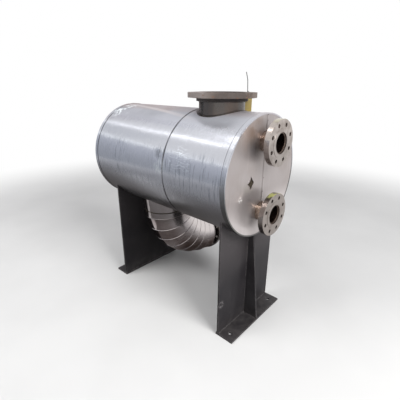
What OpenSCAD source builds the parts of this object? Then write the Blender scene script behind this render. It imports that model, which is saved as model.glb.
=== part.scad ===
// Shell and tube heat exchanger in a clad, insulated jacket, on two saddles.
// X runs along the shell towards the end with the two small nozzles, Z is up.
// The origin is the centre of the four anchor holes, at the underside of the base plates.

/* [Jacket] */
// How far the jacket's outside stands over the pressure shell
jacket_over = 50.7; // [42:0.1:70]
// Length of the jacket over its end plates
jacket_l = 1200; // [1160:1:1300]
// Height of the shell axis over the floor
axis_h = 1000; // [960:1:1100]
// Thickness of the jacket sheet
jacket_t = 1.5; // [1:0.1:2.5]
// Thickness of the flat end plates
cap_t = 2; // [1:0.1:4]
// Distance from the front plate to the middle of the joint between the two jacket sections
seam_in = 463; // [455:1:520]
// Width of the open joint between the two jacket sections
seam_w = 9; // [4:0.5:14]
// Width of the strap under that joint
strap_w = 44; // [30:1:60]
// Width of the rim bands at both ends
rim_w = 28; // [15:1:40]
// How far a rim's rolled edge laps over its end plate
rim_lip = 6; // [3:0.5:12]
// Gap between the two halves of the front plate
half_gap = 0.6; // [0.2:0.1:2]
// Width of the diamond-shaped cut-out in the front plate
cutout_w = 60; // [30:1:90]
// Height of the cut-out
cutout_h = 76; // [40:1:110]
// Distance of the cut-out from the plate's middle line
cutout_off = 121; // [100:1:160]
// How far the cut-out's middle lies under the shell axis
cutout_drop = 10; // [0:1:30]

/* [Pressure shell] */
// Outer diameter of the pressure shell
shell_d = 609.6; // [590:0.1:640]
// Wall of the pressure shell
shell_t = 9.5; // [6:0.1:16]
// Space between the front plate and the channel cover
cover_in = 40; // [25:1:50]
// Thickness of the channel cover
cover_t = 32; // [20:1:40]
// Depth of the channel between its cover and the first tubesheet
channel_l = 56; // [40:1:58]
// Thickness of both tubesheets
tubesheet_t = 32; // [20:1:36]
// Space between the crown of the rear head and the rear plate
head_gap = 44; // [30:1:60]
// Outer diameter of a tube
tube_d = 38; // [30:0.1:42]
// Spacing of the tubes
tube_pitch = 62; // [54:1:80]
// Crown radius of the dished rear head
crown_r = 610; // [560:1:760]
// Length of the straight part of the rear head
head_flat = 30; // [15:1:40]
// Thickness of the baffles
baffle_t = 8; // [5:0.5:14]
// Spacing of the baffles
baffle_pitch = 110; // [80:1:120]
// Distance from the front plate to the first baffle
baffle_in = 460; // [450:1:480]

/* [Large nozzles] */
// Outer diameter of the large nozzle pipe
big_pipe_d = 273; // [260:0.1:280]
// Wall of the large nozzle pipe
big_pipe_t = 9.3; // [6:0.1:14]
// Outer diameter of the large flanges
big_flange_d = 406.4; // [390:0.1:430]
// Thickness of the large flanges with their raised face
big_flange_t = 30.2; // [24:0.1:40]
// Diameter of the hub behind a large flange
big_hub_d = 304.8; // [296:0.1:318]
// Length of that hub
big_hub_l = 19; // [10:0.5:24]
// Diameter of the raised face of a large flange
big_face_d = 323.8; // [300:0.1:334]
// Bolt circle of a large flange
big_pcd = 361.95; // [355:0.05:372]
// Number of bolt holes in a large flange
big_holes = 12; // [8:4:16]
// Diameter of those bolt holes
big_hole_d = 25.4; // [18:0.1:28]
// Distance from the front plate to the middle of the top nozzle
top_in = 312; // [306:1:320]
// Height of the top flange's face over the pressure shell
top_reach = 150.8; // [140:0.1:200]

/* [Small nozzles] */
// Outer diameter of the small nozzle pipe
small_pipe_d = 114.3; // [100:0.1:120]
// Wall of the small nozzle pipe
small_pipe_t = 6; // [4:0.1:9]
// Outer diameter of the small flanges
small_flange_d = 254; // [240:0.1:270]
// Thickness of the small flanges with their raised face
small_flange_t = 31.8; // [24:0.1:38]
// Diameter of the hub behind a small flange
small_hub_d = 146; // [136:0.1:156]
// Length of that hub
small_hub_l = 16; // [8:0.5:22]
// Diameter of the raised face of a small flange
small_face_d = 157.2; // [140:0.1:168]
// Bolt circle of a small flange
small_pcd = 200.15; // [194:0.05:208]
// Number of bolt holes in a small flange
small_holes = 8; // [4:4:12]
// Diameter of those bolt holes
small_hole_d = 22.2; // [14:0.1:24]
// How far the middle of each small nozzle lies inside the pressure shell's outside
small_in = 98.8; // [90:0.1:110]
// Reach of the small flanges' faces in front of the front plate
small_reach = 98; // [80:1:130]

/* [Flange faces] */
// Height of every raised face
face_h = 1.6; // [1:0.1:3]
// How far a pipe ends behind the face of its slip-on flange
pipe_back = 10; // [4:0.5:14]

/* [Outlet bend] */
// Distance from the rear plate to the middle of the outlet
outlet_back = 368; // [360:1:375]
// Radius of the bend at the pipe's middle
bend_r = 381; // [360:1:420]
// How far the bend starts under the pressure shell
bend_drop = 37.2; // [34:0.1:56]
// Outer diameter of the bend's cladding
clad_d = 375; // [350:1:390]
// Thickness of the cladding sheet
clad_t = 1.5; // [1:0.1:2.5]
// Number of gores in the quarter bend
gores = 8; // [8:1:8]
// Radius of the swaged bead along each gore
bead_r = 3; // [2:0.5:6]
// Width of the open joint under the collar
collar_gap = 8; // [4:0.5:12]
// Distance from the shell axis to the outlet flange's face
outlet_reach = 440; // [436:1:500]
// How far the cladding stops short of the end of the bend
clad_short = 12; // [6:1:20]

/* [Saddles] */
// Distance from the front plate to the front saddle's web
front_web_in = 72; // [60:1:84]
// Distance from the rear plate to the rear saddle's web
rear_web_in = 137; // [125:1:142]
// Width of both saddles
saddle_w = 568; // [500:1:590]
// Thickness of the webs and ribs
web_t = 12; // [8:0.5:18]
// Thickness of the base plates
base_t = 12; // [8:0.5:20]
// How far a base plate reaches past its web on the outer side
base_out = 113; // [90:1:150]
// How far a base plate reaches past its web on the inner side
base_in = 14; // [8:1:40]
// Depth of a rib at its top
rib_top = 35; // [20:1:60]
// Depth of a rib at its foot
rib_foot = 104; // [80:1:110]
// Distance of the anchor holes from the web
anchor_out = 60; // [40:1:80]
// Spacing of the two anchor holes in a base plate
anchor_y = 460; // [380:1:500]
// Diameter of the anchor holes
anchor_d = 22; // [14:0.5:28]

/* [Tie and tag] */
// Width of the cable tie
tie_w = 5; // [3:0.1:8]
// Thickness of the cable tie
tie_t = 1.4; // [1:0.1:2]
// Height of the tie's free end over the flange's face
tie_up = 112; // [60:1:125]
// Which bolt hole of the top flange carries the tie, counted from +X towards +Y
tied_hole = 3; // [1:1:12]
// Width of the tag
tag_w = 60; // [40:1:66]
// Gap between the tag's lower edge and the jacket under it
tag_clear = 14; // [4:0.5:30]
// Thickness of the tag
tag_t = 1; // [0.6:0.1:2]

/* [Clearances] */
// Gap between pieces that are welded or lap each other
fit = 0.3; // [0.2:0.05:0.5]
// Gap between a tube and its hole in a baffle
tube_fit = 0.5; // [0.3:0.1:0.9]
// Gap between a nozzle pipe and the holes in jacket and insulation
neck_gap = 0.8; // [0.3:0.1:2]
// Gap between a web and its slots in jacket and insulation
slot_gap = 0.8; // [0.3:0.1:2]
// Gap between the insulation and the pressure shell
wool_gap = 0.8; // [0.5:0.1:2]

/* [Hidden] */
$fn = 96;

// Colours of the bare metals, paints and plastics
SHEET = [0.66, 0.68, 0.70];
PLATE = [0.70, 0.67, 0.62];
STEEL = [0.52, 0.50, 0.46];
DARK_STEEL = [0.20, 0.19, 0.18];
SADDLE_PAINT = [0.31, 0.30, 0.31];
WOOL = [0.36, 0.32, 0.24];
NYLON = [0.08, 0.08, 0.08];
TAG_YELLOW = [0.86, 0.74, 0.16];

// Stations along X, from the front plate back
web_span = jacket_l - front_web_in - rear_web_in;
front_web_x = web_span / 2;
rear_web_x = -web_span / 2;
front_x = front_web_x + front_web_in;
rear_x = front_x - jacket_l;
seam_x = front_x - seam_in;
cover_x = front_x - cover_in;
channel_x = cover_x - cover_t;
sheet_1_x = channel_x - channel_l;
tubes_x = sheet_1_x - tubesheet_t;
crown_x = sqrt(crown_r * crown_r - shell_d * shell_d / 4);
head_x = rear_x + cap_t + head_gap + crown_r - crown_x + head_flat;
barrel_end_x = head_x + fit;
sheet_2_x = barrel_end_x + fit + tubesheet_t;
tube_l = tubes_x - sheet_2_x;
top_x = front_x - top_in;
outlet_x = rear_x + outlet_back;
small_face_x = front_x + small_reach;

// Radii
shell_r = shell_d / 2;
shell_ri = shell_r - shell_t;
jacket_r = shell_r + jacket_over;
jacket_ri = jacket_r - jacket_t;
big_pipe_r = big_pipe_d / 2;
big_pipe_ri = big_pipe_r - big_pipe_t;
small_pipe_r = small_pipe_d / 2;
small_pipe_ri = small_pipe_r - small_pipe_t;
clad_r = clad_d / 2;
clad_ri = clad_r - clad_t;
rim_ri = jacket_r + fit;
rim_r = rim_ri + jacket_t;
blanket_r = jacket_ri - fit - jacket_t - fit;
blanket_ri = shell_r + wool_gap;

// Heights over the floor
top_face = shell_r + top_reach;
small_off = shell_r - small_in;
top_z = axis_h + top_face;
bend_z = axis_h - shell_r - bend_drop;
outlet_z = bend_z - bend_r;

// The outlet bend: angle of one gore, and where the cladding ends
gore_a = 90 / gores;
clad_end_a = 90 - atan(clad_short / bend_r);
// The bent pipe and its insulation come in equal lengths, with a narrow joint between them
bend_cuts = 4;
cut_a = 90 / bend_cuts;
joint_a = asin(fit / (2 * bend_r));
far = 4 * jacket_r;

// A cylinder along X whose front end is at x
module rod_x(r, x, l) {
    translate([x - l, 0, axis_h]) rotate([0, 90, 0]) cylinder(r = r, h = l);
}

// A tube along X whose front end is at x
module tube_x(r, ri, x, l) {
    difference() {
        rod_x(r, x, l);
        rod_x(ri, x + 1, l + 2);
    }
}

// The space that the top nozzle's pipe takes, with a gap around it
module top_way(gap) {
    translate([top_x, 0, axis_h]) cylinder(r = big_pipe_r + gap, h = far);
}

// The space that the outlet takes under the shell, for any radius
module outlet_way(r) {
    translate([outlet_x, 0, axis_h - far]) cylinder(r = r, h = far);
}

// The space that the clad collar of the outlet takes where it meets the jacket
module collar_way(gap) {
    at_bend(gore_a / 2)
        translate([0, -bend_r * cos(gore_a / 2), 0]) cylinder(r = clad_r + gap, h = far / 2, center = true);
}

// The space that the small nozzles' pipes take, with a gap around them
module small_ways(gap) {
    for (side = [1, -1])
        translate([cover_x - cover_t - 1, 0, axis_h + side * small_off])
            rotate([0, 90, 0]) cylinder(r = small_pipe_r + gap, h = far);
}

// The space that both saddle webs take, with a gap around them
module web_ways(gap) {
    for (x = [front_web_x, rear_web_x])
        translate([x - web_t / 2 - gap, -saddle_w / 2 - gap, 0])
            cube([web_t + 2 * gap, saddle_w + 2 * gap, axis_h + gap]);
}

// Local frame on the bend: the pipe's middle is at y = -bend_r and the flow is along -Z
module at_bend(angle) {
    translate([outlet_x, bend_r, bend_z]) rotate([angle, 0, 0]) children();
}

// A wedge between two planes through the bend's centre, at angles around the local middle plane
module wedge(up, down) {
    rotate([90, 0, 90]) linear_extrude(height = far, center = true)
        polygon([[0, 0], [-far, far * tan(up)], [-far, -far * tan(down)]]);
}

// Jacket sheet, straps and end plates
module jacket_section(front, back) {
    color(SHEET) difference() {
        tube_x(jacket_r, jacket_ri, front, front - back);
        top_way(neck_gap);
        collar_way(-clad_t);
        web_ways(slot_gap);
    }
}

module jacket_front() {
    jacket_section(front_x - cap_t, seam_x + seam_w / 2);
}

module jacket_rear() {
    jacket_section(seam_x - seam_w / 2, rear_x + cap_t);
}

module jacket_strap() {
    color(DARK_STEEL) difference() {
        tube_x(jacket_ri - fit, jacket_ri - fit - jacket_t, seam_x + strap_w / 2, strap_w);
        top_way(neck_gap);
    }
}

// A rim with its rolled lip, drawn from the plate's outer face inwards
module rim() {
    color(SHEET) rotate_extrude() union() {
        translate([rim_ri, -rim_w]) square([jacket_t, rim_w + jacket_t]);
        translate([jacket_r - rim_lip, 0]) square([rim_r - jacket_r + rim_lip, jacket_t]);
    }
}

module front_rim() {
    translate([front_x, 0, axis_h]) rotate([0, 90, 0]) rim();
}

module rear_rim() {
    translate([rear_x, 0, axis_h]) rotate([0, -90, 0]) rim();
}

// The cut-out: a diamond with sides that bow inwards
module cutout_outline() {
    bow_r = cutout_h * 1.6;
    side_l = norm([cutout_w, cutout_h]) / 2;
    bow_d = sqrt(bow_r * bow_r - side_l * side_l / 4) - side_l / 14;
    side_a = atan2(cutout_w, cutout_h);
    difference() {
        polygon([[-cutout_w / 2, 0], [0, cutout_h / 2], [cutout_w / 2, 0], [0, -cutout_h / 2]]);
        for (sx = [1, -1]) for (sy = [1, -1])
            translate([sx * cutout_w / 4 + sx * (bow_d + side_l / 7) * cos(side_a),
                       sy * cutout_h / 4 + sy * (bow_d + side_l / 7) * sin(side_a)])
                circle(r = bow_r);
    }
}

// One half of the front plate: side is -1 for the left half seen from the front
module front_half(side) {
    color(PLATE) difference() {
        rod_x(jacket_r, front_x, cap_t);
        translate([front_x - far / 2, side > 0 ? half_gap / 2 - far : -half_gap / 2, axis_h - far / 2])
            cube([far, far, far]);
        small_ways(neck_gap);
    }
}

module front_cap_left() {
    color(PLATE) difference() {
        front_half(-1);
        translate([front_x - far / 2, -cutout_off, axis_h - cutout_drop])
            rotate([90, 0, 90]) linear_extrude(height = far) cutout_outline();
    }
}

module front_cap_right() {
    front_half(1);
}

module rear_cap() {
    color(PLATE) rod_x(jacket_r, rear_x + cap_t, cap_t);
}

// Insulation between jacket and pressure shell
module insulation_blanket() {
    color(WOOL) difference() {
        tube_x(blanket_r, blanket_ri, cover_x, cover_x - rear_x - cap_t);
        top_way(neck_gap);
        outlet_way(big_pipe_r + neck_gap);
        web_ways(slot_gap);
    }
}

module front_insulation() {
    color(WOOL) difference() {
        rod_x(blanket_r, front_x - cap_t - fit, cover_in - cap_t - 2 * fit);
        small_ways(neck_gap);
    }
}

// Pressure shell, channel and bundle
module shell_barrel() {
    color(STEEL) difference() {
        tube_x(shell_r, shell_ri, channel_x - fit, channel_x - fit - barrel_end_x);
        translate([top_x, 0, axis_h]) cylinder(r = big_pipe_ri, h = far);
        outlet_way(big_pipe_ri);
    }
}

module channel_cover() {
    color(STEEL) difference() {
        rod_x(shell_r, cover_x, cover_t);
        for (side = [1, -1])
            translate([channel_x - 1, 0, axis_h + side * small_off])
                rotate([0, 90, 0]) cylinder(r = small_pipe_ri, h = cover_t + 2);
    }
}

module pass_partition() {
    half_w = sqrt(pow(shell_ri - fit, 2) - pow(web_t / 2, 2));
    color(STEEL) translate([sheet_1_x, -half_w, axis_h - web_t / 2]) cube([channel_l - fit, 2 * half_w, web_t]);
}

module tubesheets() {
    color(STEEL) {
        rod_x(shell_ri - fit, sheet_1_x, tubesheet_t);
        rod_x(shell_ri - fit, sheet_2_x, tubesheet_t);
    }
}

// Places of the tubes: staggered rows that leave room along the pass partition's line
rows = floor((shell_ri - tube_d) / (tube_pitch * sin(60)));
tube_places = [
    for (r = [-rows : rows]) for (c = [-rows : rows])
        let (y = (c + (abs(r) % 2) / 2) * tube_pitch, z = r * tube_pitch * sin(60))
        if (norm([y, z]) < shell_ri - tube_d * 0.75) [y, z]
];

module tube_bundle() {
    color(STEEL) for (p = tube_places)
        translate([sheet_2_x, p[0], axis_h + p[1]]) rotate([0, 90, 0]) cylinder(r = tube_d / 2, h = tube_l, $fn = 32);
}

// Segmental baffles, cut away at the bottom and the top in turn
module baffles() {
    cut = shell_ri * 0.5;
    color(STEEL) for (i = [0 : 2]) difference() {
        rod_x(shell_ri - fit, front_x - baffle_in - i * baffle_pitch, baffle_t);
        translate([rear_x, -far / 2, i % 2 == 0 ? axis_h - cut - far : axis_h + cut]) cube([jacket_l, far, far]);
        for (p = tube_places)
            translate([rear_x, p[0], axis_h + p[1]])
                rotate([0, 90, 0]) cylinder(r = tube_d / 2 + tube_fit, h = jacket_l, $fn = 32);
    }
}

module rear_head() {
    flat_x = head_x - head_flat;
    color(STEEL) union() {
        tube_x(shell_r, shell_ri, head_x, head_flat);
        intersection() {
            difference() {
                translate([flat_x + crown_x, 0, axis_h]) sphere(r = crown_r);
                translate([flat_x + crown_x, 0, axis_h]) sphere(r = crown_r - shell_t);
            }
            rod_x(shell_r, flat_x, crown_r - crown_x + shell_t);
        }
    }
}

// A slip-on flange, drawn with its face at z = 0 and its hub below
module slip_flange(d, t, hub_d, hub_l, face_d, pcd, holes, hole_d, bore_r) {
    difference() {
        union() {
            translate([0, 0, -t]) cylinder(d = d, h = t - face_h);
            translate([0, 0, -t]) cylinder(d = face_d, h = t);
            translate([0, 0, -t - hub_l]) cylinder(d = hub_d, h = hub_l + 1);
        }
        translate([0, 0, -t - hub_l - 1]) cylinder(r = bore_r, h = t + hub_l + 2);
        for (i = [0 : holes - 1]) rotate([0, 0, (i + 0.5) * 360 / holes])
            translate([pcd / 2, 0, -t - 1]) cylinder(d = hole_d, h = t + 2);
    }
}

module big_flange() {
    slip_flange(big_flange_d, big_flange_t, big_hub_d, big_hub_l, big_face_d, big_pcd, big_holes,
                big_hole_d, big_pipe_r + fit);
}

module small_flange() {
    slip_flange(small_flange_d, small_flange_t, small_hub_d, small_hub_l, small_face_d, small_pcd,
                small_holes, small_hole_d, small_pipe_r + fit);
}

module top_nozzle_neck() {
    color(DARK_STEEL) difference() {
        translate([top_x, 0, axis_h]) cylinder(r = big_pipe_r, h = top_face - pipe_back);
        translate([top_x, 0, axis_h]) cylinder(r = big_pipe_ri, h = top_face);
        rod_x(shell_r + fit, front_x, jacket_l);
    }
}

module top_flange() {
    color(STEEL) translate([top_x, 0, top_z]) big_flange();
}

// Flashing around the neck, shaped to the jacket
module top_collar() {
    collar_w = 14;
    color(DARK_STEEL) difference() {
        intersection() {
            translate([top_x, 0, axis_h]) cylinder(r = big_pipe_r + fit + collar_w, h = far);
            tube_x(jacket_r + fit + 2 * jacket_t, jacket_r + fit, front_x, jacket_l);
        }
        top_way(fit);
        rod_x(jacket_r, front_x, jacket_l);
    }
}

module small_neck(side) {
    color(STEEL) translate([cover_x, 0, axis_h + side * small_off]) rotate([0, 90, 0]) difference() {
        cylinder(r = small_pipe_r, h = cover_in + small_reach - pipe_back);
        translate([0, 0, -1]) cylinder(r = small_pipe_ri, h = far);
    }
}

module small_flange_at(side) {
    color(PLATE) translate([small_face_x, 0, axis_h + side * small_off]) rotate([0, 90, 0]) small_flange();
}

module upper_nozzle_neck() {
    small_neck(1);
}

module upper_flange() {
    small_flange_at(1);
}

module lower_nozzle_neck() {
    small_neck(-1);
}

module lower_flange() {
    small_flange_at(-1);
}

// The way of the outlet pipe for any radius: down from the shell, round the bend and out to the flange
module outlet_solid(r) {
    straight = outlet_reach - pipe_back - bend_r;
    union() {
        translate([outlet_x, 0, bend_z]) cylinder(r = r, h = axis_h - bend_z);
        translate([outlet_x, bend_r, bend_z]) rotate([-90, 0, 0]) rotate([0, 90, 0])
            rotate_extrude(angle = 90) translate([bend_r, 0]) circle(r = r);
        translate([outlet_x, bend_r, outlet_z]) rotate([-90, 0, 0]) cylinder(r = r, h = straight);
    }
}

// A straight length of the outlet pipe along +Z
module pipe_length(l) {
    difference() {
        cylinder(r = big_pipe_r, h = l);
        translate([0, 0, -1]) cylinder(r = big_pipe_ri, h = l + 2);
    }
}

module outlet_neck() {
    color(DARK_STEEL) difference() {
        translate([outlet_x, 0, bend_z + fit]) pipe_length(axis_h - bend_z);
        rod_x(shell_r + fit, front_x, jacket_l);
    }
}

// A length of the bend between two angles, swept from a section drawn round its middle
module bend_length(from_a, to_a) {
    at_bend(from_a) rotate([-90, 0, 0]) rotate([0, 90, 0])
        rotate_extrude(angle = to_a - from_a) translate([bend_r, 0]) children();
}

// The bend in short lengths, each a simple closed solid
module outlet_elbow() {
    color(DARK_STEEL) for (i = [1 : bend_cuts]) bend_length((i - 1) * cut_a + joint_a, i * cut_a - joint_a)
        difference() {
            circle(r = big_pipe_r);
            circle(r = big_pipe_ri);
        }
}

module outlet_pipe() {
    color(DARK_STEEL) translate([outlet_x, bend_r + fit, outlet_z]) rotate([-90, 0, 0])
        pipe_length(outlet_reach - pipe_back - bend_r - fit);
}

module outlet_flange() {
    color(DARK_STEEL) translate([outlet_x, outlet_reach, outlet_z]) rotate([-90, 0, 0]) big_flange();
}

// Cladding of the outlet bend: straight tubes cut on the mitre planes, each with a bead
module clad_tube() {
    difference() {
        cylinder(r = clad_r, h = far, center = true);
        cylinder(r = clad_ri, h = far + 2, center = true);
    }
}

module gore_tube() {
    translate([0, -bend_r * cos(gore_a / 2), 0]) clad_tube();
}

// A half-round bead just before the mitre plane at an angle
module gore_bead(angle) {
    at_bend(angle) translate([0, -bend_r, bead_r + fit]) rotate_extrude()
        translate([clad_r - clad_t / 3, 0]) intersection() {
            circle(r = bead_r);
            translate([0, -bead_r]) square([bead_r, 2 * bead_r]);
        }
}

module gore(i) {
    middle = (i - 0.5) * gore_a;
    color(SHEET) union() {
        at_bend(middle) intersection() {
            gore_tube();
            wedge(gore_a / 2, gore_a / 2);
        }
        gore_bead(i * gore_a);
    }
}

module outlet_collar() {
    color(SHEET) difference() {
        at_bend(gore_a / 2) difference() {
            gore_tube();
            translate([-far, -far, -far]) cube([2 * far, 2 * far, far + collar_gap / 2]);
        }
        rod_x(jacket_r + fit, front_x, jacket_l);
        translate([-far, -far, axis_h - jacket_r / 2]) cube([2 * far, 2 * far, far]);
    }
}

// Insulation inside the cladding, dark where it shows in the joint under the collar
module outlet_insulation() {
    wool_r = clad_ri - bend_r * (1 - cos(gore_a / 2)) - fit;
    color(DARK_STEEL) difference() {
        union() {
            at_bend(gore_a / 2) translate([0, -bend_r * cos(gore_a / 2), 0]) cylinder(r = wool_r, h = jacket_r);
            for (i = [1 : bend_cuts])
                bend_length(
                    max((i - 1) * cut_a + joint_a, gore_a / 2 + 2 * joint_a),
                    min(i * cut_a - joint_a, clad_end_a)
                ) circle(r = wool_r);
        }
        outlet_solid(big_pipe_r + fit);
        rod_x(jacket_r + fit, front_x, jacket_l);
        translate([-far, -far, axis_h - jacket_r / 2]) cube([2 * far, 2 * far, far]);
    }
}

module elbow_gore_1() {
    color(SHEET) union() {
        at_bend(gore_a / 2) intersection() {
            gore_tube();
            wedge(0, gore_a / 2);
            translate([-far, -far, -far]) cube([2 * far, 2 * far, far - collar_gap / 2]);
        }
        gore_bead(gore_a);
    }
}

module elbow_gore_8() {
    middle = (gores - 0.5) * gore_a;
    color(SHEET) at_bend(middle) intersection() {
        gore_tube();
        wedge(gore_a / 2, clad_end_a - middle);
    }
}

// Flat disc that closes the cladding around the pipe
module elbow_end_cap() {
    color(SHEET) at_bend(clad_end_a) translate([0, -bend_r, -clad_t]) difference() {
        cylinder(r = clad_r + clad_t, h = clad_t);
        translate([0, 0, -1]) cylinder(r = big_pipe_r + neck_gap, h = clad_t + 2);
    }
}

// Saddles
module web(x) {
    color(SADDLE_PAINT) difference() {
        translate([x - web_t / 2, -saddle_w / 2, base_t])
            cube([web_t, saddle_w, axis_h - base_t - sqrt(max(0, pow(shell_r, 2) - pow(saddle_w / 2, 2)))]);
        rod_x(shell_r + fit, front_x, jacket_l);
    }
}

// A rib with its deep end at the foot, drawn towards +X from the web's middle plane
module rib() {
    rib_h = axis_h - jacket_r - fit - base_t;
    color(SADDLE_PAINT) rotate([90, 0, 0]) linear_extrude(height = web_t, center = true)
        polygon([[web_t / 2, 0], [web_t / 2 + rib_foot, 0], [web_t / 2 + rib_top, rib_h], [web_t / 2, rib_h]]);
}

// A base plate, drawn from the web's middle plane with its long side towards +X
module base_plate() {
    color(SADDLE_PAINT) difference() {
        translate([-base_in, -saddle_w / 2, 0]) cube([base_in + base_out, saddle_w, base_t]);
        for (side = [1, -1])
            translate([anchor_out, side * anchor_y / 2, -1]) cylinder(d = anchor_d, h = base_t + 2);
    }
}

module front_saddle_web() {
    web(front_web_x);
}

module rear_saddle_web() {
    web(rear_web_x);
}

module saddle_ribs() {
    translate([front_web_x, 0, base_t]) rib();
    translate([rear_web_x, 0, base_t]) mirror([1, 0, 0]) rib();
}

module base_plates() {
    translate([front_web_x, 0, 0]) base_plate();
    translate([rear_web_x, 0, 0]) mirror([1, 0, 0]) base_plate();
}

// Local frame at the tied bolt hole of the top flange: X points out from the flange's middle
tied_a = (tied_hole - 0.5) * 360 / big_holes;

module at_tied_hole() {
    translate([top_x, 0, top_z]) rotate([0, 0, tied_a]) children();
}

// A nylon tie clipped round the rim beside the bolt hole, which it leaves free, with its long end up
module cable_tie() {
    in_x = big_pcd / 2 + big_hole_d / 2 + fit;
    out_x = big_flange_d / 2 + fit;
    low_z = -big_flange_t - fit;
    high_z = -face_h + fit;
    color(NYLON) at_tied_hole() translate([0, tie_w / 2, 0]) rotate([90, 0, 0]) linear_extrude(height = tie_w)
        union() {
            difference() {
                translate([in_x, low_z - tie_t]) square([out_x + tie_t - in_x, high_z - low_z + 2 * tie_t]);
                translate([in_x - 1, low_z]) square([out_x - in_x + 1, high_z - low_z]);
            }
            translate([in_x, high_z + tie_t / 2]) square([3 * tie_t, tie_w]);
            polygon([
                [in_x, high_z], [in_x + tie_t, high_z],
                [in_x - tie_up * 0.04 + tie_t, tie_up * 0.6], [in_x - tie_up * 0.16 + tie_t, tie_up],
                [in_x - tie_up * 0.16, tie_up], [in_x - tie_up * 0.04, tie_up * 0.6]
            ]);
        }
}

// A plain tag that hangs from the tie under the flange
module tag() {
    eye_z = -big_flange_t - 2 * fit - tie_t;
    under_y = (big_flange_d / 2 - tag_w / 2) * sin(tied_a);
    under_z = sqrt(jacket_r * jacket_r - under_y * under_y);
    tag_h = top_face + eye_z - under_z - tag_clear;
    color(TAG_YELLOW) at_tied_hole()
        translate([big_flange_d / 2 - tag_w / 2, -tag_t / 2, eye_z - tag_h])
            cube([tag_w, tag_t, tag_h]);
}

jacket_front();
jacket_rear();
jacket_strap();
front_rim();
rear_rim();
front_cap_left();
front_cap_right();
rear_cap();
insulation_blanket();
front_insulation();
shell_barrel();
channel_cover();
pass_partition();
tubesheets();
tube_bundle();
baffles();
rear_head();
top_nozzle_neck();
top_flange();
top_collar();
upper_nozzle_neck();
upper_flange();
lower_nozzle_neck();
lower_flange();
outlet_neck();
outlet_elbow();
outlet_pipe();
outlet_flange();
outlet_insulation();
outlet_collar();
elbow_gore_1();
gore(2);  // elbow_gore_2
gore(3);  // elbow_gore_3
gore(4);  // elbow_gore_4
gore(5);  // elbow_gore_5
gore(6);  // elbow_gore_6
gore(7);  // elbow_gore_7
elbow_gore_8();
elbow_end_cap();
front_saddle_web();
rear_saddle_web();
saddle_ribs();
base_plates();
cable_tie();
tag();
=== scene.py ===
"""Looks of an insulated shell and tube heat exchanger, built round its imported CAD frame.

Lengths are in metres. X runs along the shell towards the end with the two small nozzles, Z is up,
and the shell's axis lies one metre over the floor.
"""

from __future__ import annotations

import logging
import math
from collections.abc import Callable, Iterable
from dataclasses import dataclass
from enum import Enum

import bmesh
import bpy
from mathutils import Matrix, Vector


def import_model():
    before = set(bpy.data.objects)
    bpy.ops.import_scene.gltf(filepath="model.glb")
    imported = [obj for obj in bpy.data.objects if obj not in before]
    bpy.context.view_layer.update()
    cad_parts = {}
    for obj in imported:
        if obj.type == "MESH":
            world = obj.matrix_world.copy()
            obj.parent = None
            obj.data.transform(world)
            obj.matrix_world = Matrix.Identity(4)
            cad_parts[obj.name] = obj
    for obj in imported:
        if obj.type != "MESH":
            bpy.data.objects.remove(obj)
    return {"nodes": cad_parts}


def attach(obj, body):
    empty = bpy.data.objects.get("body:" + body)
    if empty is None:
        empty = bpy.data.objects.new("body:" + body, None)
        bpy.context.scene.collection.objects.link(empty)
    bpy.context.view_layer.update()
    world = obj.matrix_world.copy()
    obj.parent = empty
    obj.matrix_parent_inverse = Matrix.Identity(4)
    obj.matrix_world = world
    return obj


LOG = logging.getLogger("exchanger")

Triple = tuple[float, float, float]
Colour = Triple
Place = Triple
Span = tuple[float, float]
Socket = bpy.types.NodeSocket
Test = Callable[[object], bool]

# Sizes that a finish shares with the sub-assembly that wears it.
AXIS_Z = 1.0
JACKET_R = 0.3555
FRONT_X = 0.5675
REAR_X = -0.6325
JOINT_X = 0.1045
RIM_W = 0.028
SMALL_FACE_X = 0.6655
SMALL_OFF = 0.206
TOP_FACE: Place = (0.2555, 0.0, 1.4556)
WEB_X = 0.4955
WEB_T = 0.012

BLACK: Colour = (0.0, 0.0, 0.0)
WHITE: tuple[float, float, float, float] = (1.0, 1.0, 1.0, 1.0)
EVEN: Place = (1.0, 1.0, 1.0)
RING_PITCH = 0.0016
EDGE_BEVEL = 0.0004

# Sockets of the mix node that belong to its colour mode.
MIX_FACTOR, MIX_A, MIX_B, MIX_RESULT = 0, 6, 7, 2


class Slot(Enum):
    """The names of the material slots; nothing in this script reads them."""

    JACKET = "jacket_sheet"
    PLATE = "end_plate"
    BEND = "bend_sheet"
    FLANGE = "flange_steel"
    WEATHERED = "weathered_steel"
    DARK = "dark_steel"
    SADDLE = "saddle_paint"
    NYLON = "nylon"


class Along(Enum):
    """The axis that a flange, a pipe or a weld ring turns about."""

    X = Vector((1, 0, 0))
    Y = Vector((0, 1, 0))
    Z = Vector((0, 0, 1))


@dataclass(frozen=True)
class Mark:
    """A round place with a tint of its own, such as a scuff, a stain or a wiped patch."""

    at: Place
    radius: float
    soft: float
    amount: float
    tint: Colour


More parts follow.
